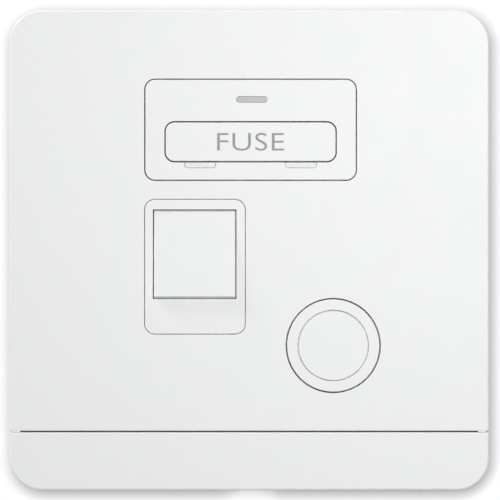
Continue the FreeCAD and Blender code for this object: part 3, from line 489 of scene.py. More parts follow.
def node_copy(node):
    """A merged copy of one node's mesh, to be finished as a piece of its own."""
    mesh = frame["nodes"][node].data.copy()
    mesh.materials.clear()
    obj = bpy.data.objects.new(node + "_shape", mesh)
    bpy.context.scene.collection.objects.link(obj)
    activate(obj)
    edit_mode()
    bpy.ops.mesh.select_all(action="SELECT")
    bpy.ops.mesh.customdata_custom_splitnormals_clear()
    object_mode()
    clean(obj)
    return obj


# Materials


def add_node(tree, kind, **settings):
    node = tree.nodes.new(kind)
    for key, value in settings.items():
        setattr(node, key, value)
    return node


def set_inputs(node, values):
    for name, value in values.items():
        node.inputs[name].default_value = value


def feed(tree, socket, value):
    """Links a socket or sets a plain value."""
    if isinstance(value, bpy.types.NodeSocket):
        tree.links.new(value, socket)
    else:
        socket.default_value = value


def math_node(tree, operation, first, second, clamp=False):
    node = add_node(tree, "ShaderNodeMath", operation=operation, use_clamp=clamp)
    feed(tree, node.inputs[0], first)
    feed(tree, node.inputs[1], second)
    return node.outputs[0]


def range_node(tree, value, low, high):
    """Stretches the middle of a noise mask to a range."""
    node = add_node(tree, "ShaderNodeMapRange")
    feed(tree, node.inputs["Value"], value)
    set_inputs(node, {"From Min": 0.3, "From Max": 0.7, "To Min": low, "To Max": high})
    return node.outputs["Result"]


def mix_node(tree, mask, first, second):
    node = add_node(tree, "ShaderNodeMix", data_type="RGBA")
    feed(tree, node.inputs["Factor"], mask)
    feed(tree, node.inputs["A"], first)
    feed(tree, node.inputs["B"], second)
    return node.outputs["Result"]


def noise_node(tree, vector, scale, detail, distortion=0.0):
    node = add_node(tree, "ShaderNodeTexNoise")
    tree.links.new(vector, node.inputs["Vector"])
    feed(tree, node.inputs["Scale"], scale)
    set_inputs(node, {"Detail": detail, "Distortion": distortion})
    return node.outputs["Fac"]


def opaque(colour, factor=1.0):
    return (colour[0] * factor, colour[1] * factor, colour[2] * factor, 1.0)


def new_group(name, inputs, outputs):
    """An empty node group with its sockets, and its input and output nodes."""
    group = bpy.data.node_groups.new(name, "ShaderNodeTree")
    for direction, sockets in (("INPUT", inputs), ("OUTPUT", outputs)):
        for socket, kind in sockets.items():
            group.interface.new_socket(socket, in_out=direction, socket_type="NodeSocket" + kind)
    return group, add_node(group, "NodeGroupInput"), add_node(group, "NodeGroupOutput")


def grain_group():
    """Fine grain, slow smudges and a cloudy mottle, read in object space."""
    group, given, made = new_group(
        "Surface Grain",
        {"Grain Scale": "Float", "Smudge Scale": "Float", "Stretch": "Vector"},
        {"Height": "Float", "Smudge": "Float", "Mottle": "Float"},
    )
    place = add_node(group, "ShaderNodeTexCoord").outputs["Object"]
    stretched = add_node(group, "ShaderNodeVectorMath", operation="MULTIPLY")
    group.links.new(place, stretched.inputs[0])
    group.links.new(given.outputs["Stretch"], stretched.inputs[1])
    fine = noise_node(group, stretched.outputs[0], given.outputs["Grain Scale"], 4.0)
    smudge = noise_node(group, place, given.outputs["Smudge Scale"], 3.0, 0.8)
    cloud_scale = math_node(group, "MULTIPLY", given.outputs["Smudge Scale"], 4.0)
    mottle = noise_node(group, stretched.outputs[0], cloud_scale, 5.0)
    group.links.new(fine, made.inputs["Height"])
    group.links.new(smudge, made.inputs["Smudge"])
    group.links.new(mottle, made.inputs["Mottle"])


def edge_group():
    """Mask of the rounded edges, for their rubbed polish and their painted highlight: bright where the
    rounded normal leaves the true one.
    """
    group, given, made = new_group(
        "Edge Wear and Highlight", {"Radius": "Float", "Break-up Scale": "Float"}, {"Edge": "Float"}
    )
    strength = 9.0
    rounded = add_node(group, "ShaderNodeBevel", samples=4)
    group.links.new(given.outputs["Radius"], rounded.inputs["Radius"])
    true = add_node(group, "ShaderNodeNewGeometry").outputs["Normal"]
    dot = add_node(group, "ShaderNodeVectorMath", operation="DOT_PRODUCT")
    group.links.new(rounded.outputs["Normal"], dot.inputs[0])
    group.links.new(true, dot.inputs[1])
    away = math_node(group, "SUBTRACT", 1.0, dot.outputs["Value"])
    strong = math_node(group, "MULTIPLY", away, strength, True)
    place = add_node(group, "ShaderNodeTexCoord").outputs["Object"]
    patches = noise_node(group, place, given.outputs["Break-up Scale"], 3.0)
    broken = range_node(group, patches, 0.2, 1.0)
    group.links.new(math_node(group, "MULTIPLY", strong, broken, True), made.inputs["Edge"])


def surface(
    name,
    colour,
    roughness,
    metallic=0.0,
    coat=0.0,
    grain=4500.0,
    depth=0.01,
    stretch=(1, 1, 1),
    smudge=60.0,
    mottle=0.03,
    edge_highlight_tone=1.04,
    edge_radius=0.25,
    shine=0.05,
):
    """A finish with grain, smudges, mottle, and rounded edges with a rubbed polish and a painted highlight;
    depth and edge radius are in millimetres.
    """
    material = bpy.data.materials.new(name)
    material.use_nodes = True
    tree = material.node_tree
    shader = tree.nodes["Principled BSDF"]
    set_inputs(shader, {"Metallic": metallic, "Coat Weight": coat, "Coat Roughness": 0.15})
    grained = add_node(tree, "ShaderNodeGroup", node_tree=bpy.data.node_groups["Surface Grain"])
    set_inputs(grained, {"Grain Scale": grain, "Smudge Scale": smudge, "Stretch": stretch})
    worn_and_highlit = add_node(tree, "ShaderNodeGroup", node_tree=bpy.data.node_groups["Edge Wear and Highlight"])
    set_inputs(worn_and_highlit, {"Radius": edge_radius * MM, "Break-up Scale": smudge * 8})
    tones = range_node(tree, grained.outputs["Mottle"], 0.0, 1.0)
    body = mix_node(tree, tones, opaque(colour, 1 - mottle), opaque(colour, 1 + mottle / 2))
    # Painted highlight: the rounded edges are lightened in colour by the edge tone
    highlit_colour = mix_node(tree, worn_and_highlit.outputs["Edge"], body, opaque(colour, edge_highlight_tone))
    feed(tree, shader.inputs["Base Color"], highlit_colour)
    dull = range_node(tree, grained.outputs["Smudge"], roughness - shine, roughness + shine)
    polished = math_node(tree, "MULTIPLY", worn_and_highlit.outputs["Edge"], -shine)
    feed(tree, shader.inputs["Roughness"], math_node(tree, "ADD", dull, polished, True))
    bump = add_node(tree, "ShaderNodeBump")
    set_inputs(bump, {"Strength": 1.0, "Distance": depth * MM})
    tree.links.new(grained.outputs["Height"], bump.inputs["Height"])
    tree.links.new(bump.outputs["Normal"], shader.inputs["Normal"])
    return material


def metal(name, colour, roughness, depth, **settings):
    return surface(name, colour, roughness, metallic=1.0, depth=depth, **settings)


def make_finishes(colours):
    """All finishes, most by the name of their slot in the record."""
    grain_group()
    edge_group()
    cover = tuple(colours.cover)
    # Painted shade: the rocker's white is a little darker than the cover's, for its face that tilts towards
    # the lamps
    rocker_shade_share = 0.975
    rocker = tuple(rocker_shade_share * part for part in cover)
    # The edge tone of each finish is a painted highlight on its rounded edges
    moulded = {"depth": 0.004, "mottle": 0.006, "edge_highlight_tone": 1.1}
    clay = (0.84, 0.81, 0.74)
    grey = (0.62, 0.62, 0.6)
    glaze = {"depth": 0.006, "mottle": 0.2, "edge_highlight_tone": 3.0}
    rolled = {"mottle": 0.14, "shine": 0.08, "stretch": (1, 1, 0.1)}
    drawn = {"mottle": 0.12, "shine": 0.08, "stretch": (1, 0.15, 1)}
    turned = {"mottle": 0.08, "stretch": (0.1, 1, 1)}
    return {
        "cover_white": surface("Cover White", cover, 0.42, edge_radius=0.35, **moulded),
        "rocker_white_shaded": surface("Rocker White Shaded", rocker, 0.42, **moulded),
        "frame_white": surface("Frame White", (0.8, 0.8, 0.78), 0.5),
        "housing_grey": surface("Housing Grey", grey, 0.55, depth=0.015, mottle=0.05, grain=3000.0),
        "lens_grey": surface("Lens Grey", tuple(colours.lens), 0.25, coat=0.3, depth=0.002),
        "lamp_clear": surface(
            "Lamp Phosphor", (0.85, 0.78, 0.35), 0.3, coat=0.5, depth=0.004, mottle=0.08
        ),
        "board_green": surface("Board Varnish", (0.03, 0.16, 0.07), 0.35, coat=0.4, mottle=0.25),
        "resistor_body": surface("Chip Glaze", (0.03, 0.03, 0.035), 0.3, **glaze),
        "tinned_pin": metal("Tinned Pin", (0.72, 0.71, 0.68), 0.32, 0.004, mottle=0.08),
        "nylon": surface("Natural Nylon", (0.78, 0.76, 0.68), 0.4, depth=0.008, mottle=0.05),
        "spring_steel": metal("Spring Wire", (0.56, 0.57, 0.59), 0.3, 0.003, mottle=0.12),
        "contact_copper": metal("Contact Bronze", (0.8, 0.5, 0.3), 0.28, 0.005, **rolled),
        "contact_silver": metal("Contact Silver", (0.88, 0.87, 0.84), 0.22, 0.003, mottle=0.1),
        "terminal_brass": metal("Terminal Brass", (0.83, 0.64, 0.32), 0.3, 0.006, **drawn),
        "screw_steel": metal("Screw Zinc", (0.68, 0.69, 0.71), 0.33, 0.006, mottle=0.1),
        "fuse_ceramic": surface("Fuse Ceramic", clay, 0.5, mottle=0.05, grain=2500.0),
        "fuse_nickel": metal("Cap Nickel", (0.78, 0.75, 0.7), 0.18, 0.003, **turned),
        "print_grey": surface("Printed Grey", tuple(colours.lettering), 0.5, depth=0.003, mottle=0.05),
    }


FINISHES = {}


def paint(obj, look):
    """Gives the piece its finish; the finishes are made on first use."""
    if not FINISHES:
        FINISHES.update(make_finishes(bpy.context.scene.spur_colours))
    obj.data.materials.clear()
    obj.data.materials.append(FINISHES[look])


def dress(obj, node, slot, easing=None, look=None):
    """Gives the piece its edges, its finish, which is the look if one is given and else the one named by
    the slot, and its body, in place of the node it stands for.
    """
    if easing:
        ease(obj, easing)
    paint(obj, look or slot)
    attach(obj, frame["nodes"][node]["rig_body"])
    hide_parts(node)


def dress_nodes(slots, easing):
    """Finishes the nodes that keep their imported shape, each in its slot."""
    for node, slot in slots.items():
        dress(node_copy(node), node, slot, easing)


# Pieces


def widen_cover_front(obj, corner, amount):
    """Draws the outline of the cover's front face outwards, so that its edge looks crisp."""
    centre = PLATE_HALF - corner
    scale = (corner - PACKED_BEVEL + amount) / (corner - PACKED_BEVEL)

    def on_front(point):
        return abs(point.y - PLATE_FRONT) < TINY

    for x_side in (-1, 1):
        for z_side in (-1, 1):

            def at_corner(point):
                beside = point.x * x_side > centre - TINY
                return on_front(point) and beside and point.z * z_side > centre - TINY

            if select_points(obj, at_corner):
                bpy.ops.transform.resize(
                    value=(scale, 1, scale), center_override=(x_side * centre, PLATE_FRONT, z_side * centre)
                )
            object_mode()

        def at_side(point):
            beside = point.x * x_side > PLATE_HALF - PACKED_BEVEL - TINY
            return on_front(point) and beside and abs(point.z) < centre - TINY

        if select_points(obj, at_side):
            bpy.ops.transform.translate(value=(x_side * amount, 0, 0))
        object_mode()


def round_cover_edge(obj, radius):
    """Turns the flat bevel round the cover's front into a soft edge."""
    side_reach = 1.6 * MM
    corner_reach = 6.4 * MM
    depth = 0.75 * MM

    def on_rim(point):
        side = max(abs(point.x), abs(point.z)) > PLATE_HALF - side_reach
        corner = min(abs(point.x), abs(point.z)) > PLATE_HALF - corner_reach
        return (side or corner) and point.y < PLATE_FRONT + depth

    def wanted(a, b):
        level = abs(a.y - b.y) < TINY
        return level and on_rim(a) and on_rim(b) and on_rim((a + b) / 2)

    select_edges(obj, wanted)
    bpy.ops.mesh.bevel(offset=radius, segments=3, affect="EDGES", clamp_overlap=True)
    object_mode()


def widen_outlet(obj, amount):
    """Draws the round opening for the flex outlet outwards, so that the gap round its cover shows."""
    at = middle(OUTLET)
    radius = OUTLET[1].x - at.x - OUTLET_LAP
    scale = (radius + amount) / radius

    def at_opening(point):
        return abs((point.xz - at.xz).length - radius) < TINY

    if not select_points(obj, at_opening):
        raise RuntimeError("the fascia has no opening for the flex outlet")
    bpy.ops.transform.resize(value=(scale, 1, scale), center_override=at)
    object_mode()


class SPUR_OT_cover(Operator):
    """Finish the fascia and the strip below it"""

    bl_idname = "spur.cover"
    bl_label = "Cover"

    outlet_reach: size_property(
        "Outlet Reach", "How far the opening for the flex outlet is drawn outwards", 0.1 * MM
    )

    def execute(self, context):
        sizes = context.scene.spur_sizes
        for node in ("fascia", "lower_strip"):
            cover = node_copy(node)
            if node == "fascia":
                widen_outlet(cover, self.outlet_reach)
            widen_cover_front(cover, sizes.corner, sizes.front_reach)
            round_cover_edge(cover, sizes.edge)
            dress(cover, node, "cover_white", sizes.easing)
        return {"FINISHED"}


class SPUR_OT_fuse_module(Operator):
    """Model the insert round the fuse drawer, with its notches and the slot for the indicator"""

    bl_idname = "spur.fuse_module"
    bl_label = "Fuse Module"

    gap: size_property("Gap", "Gap round the insert in the fascia", 0.21 * MM)
    corner: size_property("Corner", "Radius of the insert's corners", 1.74 * MM)
    edge: size_property("Front Edge", "Rounding of the insert's front edge", 0.15 * MM)
    flange: size_property("Flange", "How far the flange reaches behind the fascia", 1.0 * MM)
    drawer_gap: size_property("Drawer Gap", "Gap round the drawer in its opening", 0.2 * MM)
    drawer_corner: size_property("Drawer Corner", "Radius of the opening's corners", 1.8 * MM)
    wall: size_property("Sleeve Wall", "Wall of the sleeve that guides the drawer", 1.2 * MM)
    notch_width: size_property("Notch Width", "Width of each pry notch below the drawer", 5.7 * MM)
    notch_height: size_property(
        "Notch Height", "Height of each pry notch below the drawer's opening", 1.03 * MM
    )
    notch_inside: size_property(
        "Notch Inside", "How far each notch runs up into the drawer's opening", 1.2 * MM
    )
    notch_depth: size_property("Notch Depth", "Depth of each pry notch", 0.45 * MM)
    notch_corner: size_property("Notch Corner", "Radius of each notch's corners", 0.6 * MM)
    notch_offset: size_property(
        "Notch Offset", "Distance of each notch from the drawer's middle", 9.05 * MM
    )
    groove: size_property(
        "Notch Groove", "Width of the fine groove round the floor of each notch", 0.12 * MM
    )
    groove_depth: size_property(
        "Groove Depth", "Depth of that groove below the notch's floor", 0.4 * MM
    )

    def execute(self, context):
        front, rear = MODULE[0].y, MODULE[1].y
        at = middle(MODULE)
        width = width_of(MODULE) - 2 * (self.flange + self.gap)
        height = height_of(MODULE) - 2 * (self.flange + self.gap)
        module = rounded_block(
            "fuse_module_shape", at.x, at.z, width, height, self.corner, front, INSERT_REAR, self.edge
        )
        flange = add_block(
            "flange", at.x, at.z, width_of(MODULE), height_of(MODULE), FLANGE_FRONT, INSERT_REAR
        )
        drawer = middle(CARRIER)
        width = width_of(CARRIER) + 2 * self.drawer_gap
        height = height_of(CARRIER) + 2 * self.drawer_gap
        walls = 2 * self.wall
        sleeve = add_block(
            "sleeve", drawer.x, drawer.z, width + walls, height + walls, INSERT_REAR - PAST, rear
        )
        weld(module, flange, sleeve)
        low = drawer.z - height / 2 - self.notch_height
        for side in (-1, 1):
            self.cut_notch(module, drawer.x + side * self.notch_offset, low)
        opening = rounded_block(
            "opening", drawer.x, drawer.z, width, height, self.drawer_corner, front - PAST, rear + PAST
        )
        lens = middle(LENS)
        slot = rounded_block(
            "slot", lens.x, lens.z, PILL_LENGTH, PILL_HEIGHT, PILL_CORNER, front - PAST, INSERT_REAR + PAST
        )
        carve(module, opening, slot)
        clean(module)
        dress(module, "fuse_module", "cover_white", context.scene.spur_sizes.easing)
        return {"FINISHED"}

    def cut_notch(self, module, x, low):
        """Cuts one pry notch and sets back a pad in it, so that a groove is left round its floor."""
        sink = 0.2 * MM
        height = self.notch_height + self.notch_inside
        z = low + height / 2
        front = MODULE[0].y
        floor = front + self.notch_depth
        bottom = floor + self.groove_depth
        carve(
            module,
            rounded_block("notch", x, z, self.notch_width, height, self.notch_corner, front - PAST, bottom),
        )
        width = self.notch_width - 2 * self.groove
        height -= 2 * self.groove
        corner = self.notch_corner - self.groove
        weld(module, rounded_block("pad", x, z, width, height, corner, floor, bottom + sink))


class SPUR_OT_indicator(Operator):
    """Model the indicator's lens, and finish the lamp and board behind it"""

    bl_idname = "spur.indicator"
    bl_label = "Indicator"

    gap: size_property("Lens Gap", "Gap round the lens in its slot", 0.05 * MM)
    edge: size_property("Lens Edge", "Rounding of the lens's front edge", 0.04 * MM)
    flange: size_property("Lens Flange", "Thickness of the lens's flange", 1.2 * MM)
    pipe_width: size_property("Pipe Width", "Width of the light pipe behind the lens", 4.0 * MM)
    pipe_height: size_property("Pipe Height", "Height of the light pipe behind the lens", 2.4 * MM)

    def execute(self, context):
        easing = context.scene.spur_sizes.easing
        at = middle(LENS)
        lens = rounded_block(
            "indicator_lens_shape",
            at.x,
            at.z,
            PILL_LENGTH - 2 * self.gap,
            PILL_HEIGHT - 2 * self.gap,
            PILL_CORNER - self.gap,
            LENS[0].y,
            INSERT_REAR + PAST,
            self.edge,
        )
        flange = add_block(
            "flange", at.x, at.z, width_of(LENS), height_of(LENS), INSERT_REAR, INSERT_REAR + self.flange
        )
        pipe_front = INSERT_REAR + self.flange / 2
        pipe = add_block("pipe", at.x, at.z, self.pipe_width, self.pipe_height, pipe_front, LENS[1].y)
        weld(lens, flange, pipe)
        clean(lens)
        dress(lens, "indicator_lens", "lens_grey", easing)
        dress_nodes(
            {
                "indicator_led": "lamp_clear",
                "lamp_board": "board_green",
                "lamp_resistor": "resistor_body",
                "lamp_leads": "tinned_pin",
            },
            easing,
        )
        return {"FINISHED"}


class SPUR_OT_fuse_drawer(Operator):
    """Finish the drawer, letter it, and model the cartridge fuse in its jaws"""

    bl_idname = "spur.fuse_drawer"
    bl_label = "Fuse Drawer"

    word: StringProperty(name="Word", description="Plain word printed on the drawer", default="FUSE")
    print_height: size_property("Print Height", "How far the ink stands proud", 0.012 * MM)
    glaze_edge: size_property("Glaze Edge", "Chamfer at the ends of the ceramic tube", 0.15 * MM)
    cap_wall: size_property("Cap Wall", "Wall of the fuse's caps", 0.2 * MM)
    cap_edge: size_property("Cap Edge", "Rounding of each cap's end", 0.4 * MM)
    crimp_depth: size_property("Crimp Depth", "Depth of the crimped ring round each cap", 0.09 * MM)

    def execute(self, context):
        sizes = context.scene.spur_sizes
        dress_nodes({"fuse_carrier": "cover_white"}, sizes.easing)
        self.letter(sizes.letter_height, sizes.word_width)
        self.add_tube()
        for node, side in (("fuse_cap_left", 1), ("fuse_cap_right", -1)):
            self.add_cap(node, side)
        return {"FINISHED"}

    def add_tube(self):
        """The ceramic tube."""
        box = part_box("fuse_tube")
        radius = height_of(box) / 2
        length = width_of(box)
        rim = self.glaze_edge
        line = [
            (0, 0),
            (radius - rim, 0),
            (radius, rim),
            (radius, length - rim),
            (radius - rim, length),
            (0, length),
        ]
        tube = lathe("fuse_tube_shape", line)
        self.lay_along(tube, box, 1)
        dress(tube, "fuse_tube", "fuse_ceramic")

    def add_cap(self, node, side):
        """A drawn cap with a dimple in its end and a crimped ring round it."""
        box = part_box(node)
        length = width_of(box)
        outer = height_of(box) / 2
        inner = outer - self.cap_wall
        edge = self.cap_edge
        dimple = 1.5 * MM
        dimple_depth = 0.1 * MM
        bend = 0.12 * MM
        crimp = outer - self.crimp_depth
        crimp_start = length - 1.9 * MM
        slope = 0.2 * MM
        crimp_end = length - 1.2 * MM
        lip = 0.08 * MM
        floor = self.cap_wall + TINY
        line = [
            (0, bend),
            (dimple - slope, dimple_depth),
            (dimple, 0),
            (outer - edge, 0),
            (outer - bend, bend),
            (outer, edge),
            (outer, crimp_start),
            (crimp, crimp_start + slope),
            (crimp, crimp_end - slope),
            (outer, crimp_end),
            (outer, length - lip),
            (outer - lip, length),
            (inner, length),
            (inner, floor),
            (0, floor),
        ]
        cap = lathe(node + "_shape", line)
        self.lay_along(cap, box, side)
        dress(cap, node, "fuse_nickel")

    def lay_along(self, piece, box, side):
        """Lays a turned piece along X from one end of its box."""
        at = middle(box)
        end = box[0].x if side > 0 else box[1].x
        turn = Matrix.Rotation(side * QUARTER_TURN, 4, "Y")
        place_mesh(piece, Matrix.Translation((end, at.y, at.z)) @ turn)
        smooth(piece)

    def letter(self, height, width):
        """Prints the word in the middle of the drawer's front."""
        word = add_word(
            self.word, height, self.print_height, space_character=1.05, offset=-0.03 * MM, resolution_u=6
        )
        word.name = "fuse_word"
        box = bounds_of(word)
        place_mesh(word, Matrix.Translation(-middle(box)))
        place_mesh(word, Matrix.Diagonal((width / width_of(box), 1, height / height_of(box), 1)))
        at = middle(CARRIER)
        place_mesh(word, Matrix.Translation((at.x, CARRIER[0].y - self.print_height / 2, at.z)))
        paint(word, "print_grey")
        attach(word, "fuse_drawer")


def fit_rocker_ends(obj, rim, shoulder, set_back):
    """Squares the rim of the end that stands out and sets the other end back from its window."""
    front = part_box("rocker")[0].y
    lower_end = PIVOT.z - 7.0 * MM
    upper_end = PIVOT.z + 7.4 * MM
    rim_band = (-0.05 * MM, 0.05 * MM)
    shoulder_band = (0.1 * MM, 0.2 * MM)
    for (low, high), reach in ((rim_band, rim), (shoulder_band, shoulder)):

        def in_band(point):
            return low < point.y - front < high and point.z < lower_end

        points = select_points(obj, in_band)
        if points:
            there = min(obj.data.vertices[index].co.z for index in points)
            bpy.ops.transform.translate(value=(0, 0, PIVOT.z - reach - there))
        object_mode()

    def at_upper_end(point):
        return point.z > upper_end and point.y < PIVOT.y - 0.1 * MM

    if select_points(obj, at_upper_end):
        bpy.ops.transform.translate(value=(0, 0, -set_back))
    object_mode()


class SPUR_OT_switch(Operator):
    """Reshape and finish the rocker, finish the surround and the plungers, and model the springs"""

    bl_idname = "spur.switch"
    bl_label = "Switch"

    rim: size_property(
        "Rocker Rim", "Height from the pivot to the front rim of the end that stands out", 7.5 * MM
    )
    shoulder: size_property(
        "Rocker Shoulder", "Height from the pivot to the edge just behind that rim", 7.58 * MM
    )
    set_back: size_property("Set Back", "How far the other end stays back from its window", 0.19 * MM)
    wire: size_property("Spring Wire", "Radius of the plunger springs' wire", 0.16 * MM)
    coil_pitch: size_property(
        "Coil Pitch", "Distance from coil to coil in the plunger springs", 1.0 * MM
    )

    def execute(self, context):
        easing = context.scene.spur_sizes.easing
        rocker = node_copy("rocker")
        fit_rocker_ends(rocker, self.rim, self.shoulder, self.set_back)
        # The rocker is painted in the cover's white, darkened as painted shade
        dress(rocker, "rocker", "cover_white", easing, look="rocker_white_shaded")
        dress_nodes(
            {"switch_surround": "cover_white", "plunger_line": "nylon", "plunger_neutral": "nylon"}, easing
        )
        for node in ("plunger_spring_line", "plunger_spring_neutral"):
            self.add_spring(node)
        return {"FINISHED"}

    def add_spring(self, node):
        """A coil of round wire with a closed ring at each end, tilted with the rocker."""
        to_pivot = Matrix.Translation(PIVOT)
        source = node_copy(node)
        place_mesh(source, to_pivot @ Matrix.Rotation(REST_TILT, 4, "X") @ to_pivot.inverted())
        low, high = bounds_of(source)
        bpy.data.objects.remove(source)
        centre = (low + high) / 2
        radius = (high.x - low.x) / 2 - self.wire
        length = high.y - low.y - 2 * self.wire
        turns = round(length / self.coil_pitch)
        wire_sides = 12
        coil_steps = 36
        deselect()
        bpy.ops.mesh.primitive_circle_add(
            vertices=wire_sides, radius=self.wire, location=(radius, 0, 0), rotation=(QUARTER_TURN, 0, 0)
        )
        coil = bpy.context.object
        coil.name = node + "_shape"
        apply_place(coil)
        sweep(coil, length / turns, turns, coil_steps)
        close_ends(coil)
        for height in (0, length):
            deselect()
            bpy.ops.mesh.primitive_torus_add(
                location=(0, 0, height),
                major_radius=radius,
                minor_radius=0.98 * self.wire,
                major_segments=coil_steps,
                minor_segments=wire_sides,
            )
            weld(coil, bpy.context.object)
        tilt = to_pivot @ Matrix.Rotation(-REST_TILT, 4, "X") @ to_pivot.inverted()
        seat = Matrix.Translation((centre.x, low.y + self.wire, centre.z))
        place_mesh(coil, tilt @ seat @ DEPTHWISE)
        smooth(coil)
        dress(coil, node, "spring_steel")


class SPUR_OT_contacts(Operator):
    """Finish the rocking contacts, their posts and strips, and the fuse clips"""

    bl_idname = "spur.contacts"
    bl_label = "Contacts"

    def execute(self, context):
        easing = context.scene.spur_sizes.metal_easing
        for pole in ("line", "neutral"):
            dress_nodes(
                {
                    "moving_contact_" + pole: "contact_copper",
                    "moving_tip_" + pole: "contact_silver",
                    "fixed_tip_" + pole: "contact_silver",
                    "pivot_post_" + pole: "contact_copper",
                },
                easing,
            )
        strips = ("neutral_strip", "fuse_clip_supply", "fuse_clip_load")
        dress_nodes(dict.fromkeys(strips, "contact_copper"), easing)
        return {"FINISHED"}


class SPUR_OT_flex_outlet(Operator):
    """Model the round flex outlet cover with its scored ring"""

    bl_idname = "spur.flex_outlet"
    bl_label = "Flex Outlet"

    gap: size_property("Outlet Gap", "Gap round the disc in the fascia", 0.165 * MM)
    edge: size_property("Outlet Edge", "Rounding of the disc's front edge", 0.12 * MM)
    face: size_property("Face", "Thickness of the disc", 1.0 * MM)
    ring: size_property("Ring Radius", "Radius of the scored ring", 6.3 * MM)
    groove: size_property("Groove Width", "Width of the scored ring", 0.27 * MM)
    groove_depth: size_property("Groove Depth", "Depth of the scored ring", 0.85 * MM)
    wall: size_property("Rim Wall", "Wall of the rim behind the disc", 1.35 * MM)

    def execute(self, context):
        at = middle(OUTLET)
        front, rear = OUTLET[0].y, OUTLET[1].y
        flange_radius = OUTLET[1].x - at.x
        radius = flange_radius - OUTLET_LAP - self.gap
        outer = self.ring + self.groove / 2
        inner = self.ring - self.groove / 2
        cover = add_round("flex_outlet_cover_shape", at.x, at.z, radius, front, rear)
        round_front(cover, self.edge, 3)
        weld(cover, add_round("flange", at.x, at.z, flange_radius, FLANGE_FRONT, rear))
        hollow = add_round("hollow", at.x, at.z, radius - self.wall, front + self.face, rear + PAST)
        ring = add_round("ring", at.x, at.z, outer, front - PAST, front + self.groove_depth)
        carve(ring, add_round("core", at.x, at.z, inner, front - 2 * PAST, front + PAST))
        carve(cover, hollow, ring)
        clean(cover)
        dress(cover, "flex_outlet_cover", "cover_white", context.scene.spur_sizes.metal_easing)
        return {"FINISHED"}


class SPUR_OT_housing(Operator):
    """Finish the mounting frame, the rear moulding and the cord clamp, and mark the terminals"""

    bl_idname = "spur.housing"
    bl_label = "Housing"

    mark_height: size_property("Mark Height", "How far the terminal letters stand proud", 0.4 * MM)
    letter: size_property("Letter Size", "Height of the single terminal letters", 3.0 * MM)
    label: size_property("Label Size", "Height of the words beside the letters", 1.8 * MM)
    load_z: size_property("Load Marks", "Height of the marks of the load terminals", 15.8 * MM)
    supply_z: size_property("Supply Marks", "Height of the marks of the supply terminals", -6.8 * MM)

    def execute(self, context):
        dress_nodes(
            {
                "mounting_frame": "frame_white",
                "rear_moulding": "housing_grey",
                "cord_clamp_bar": "housing_grey",
            },
            context.scene.spur_sizes.easing,
        )
        marks = join_all([self.add_mark(*mark) for mark in self.marks()], "terminal_marks")
        paint(marks, "housing_grey")
        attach(marks, frame["nodes"]["rear_moulding"]["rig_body"])
        return {"FINISHED"}

    def marks(self):
        """Plain letters beside the terminals, with their places on the floor's rear."""
        line_load = middle(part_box("terminal_line_load")).x
        neutral_load = middle(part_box("terminal_neutral_load")).x
        line_in = middle(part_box("terminal_line_in")).x
        neutral_in = middle(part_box("terminal_neutral_in")).x
        earth = middle(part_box("terminal_earth"))
        beside_neutral = 4.0 * MM
        beside_earth = 7.6 * MM
        above_letters = 4.2 * MM
        return (
            ("L", line_load, self.load_z, self.letter),
            ("N", neutral_load - beside_neutral, self.load_z, self.letter),
            ("LOAD", (line_load + neutral_load) / 2, self.load_z, self.label),
            ("L", line_in, self.supply_z, self.letter),
            ("N", neutral_in, self.supply_z, self.letter),
            ("SUPPLY", (line_in + neutral_in) / 2, self.supply_z + above_letters, self.label),
            ("E", earth.x - beside_earth, earth.z, self.letter),
        )

    def add_mark(self, word, x, z, height):
        """A raised word that reads from behind."""
        mark = add_word(word, height, self.mark_height, math.pi, resolution_u=4)
        place_mesh(mark, Matrix.Translation((x, FLOOR_REAR + self.mark_height / 2, z)))
        return mark


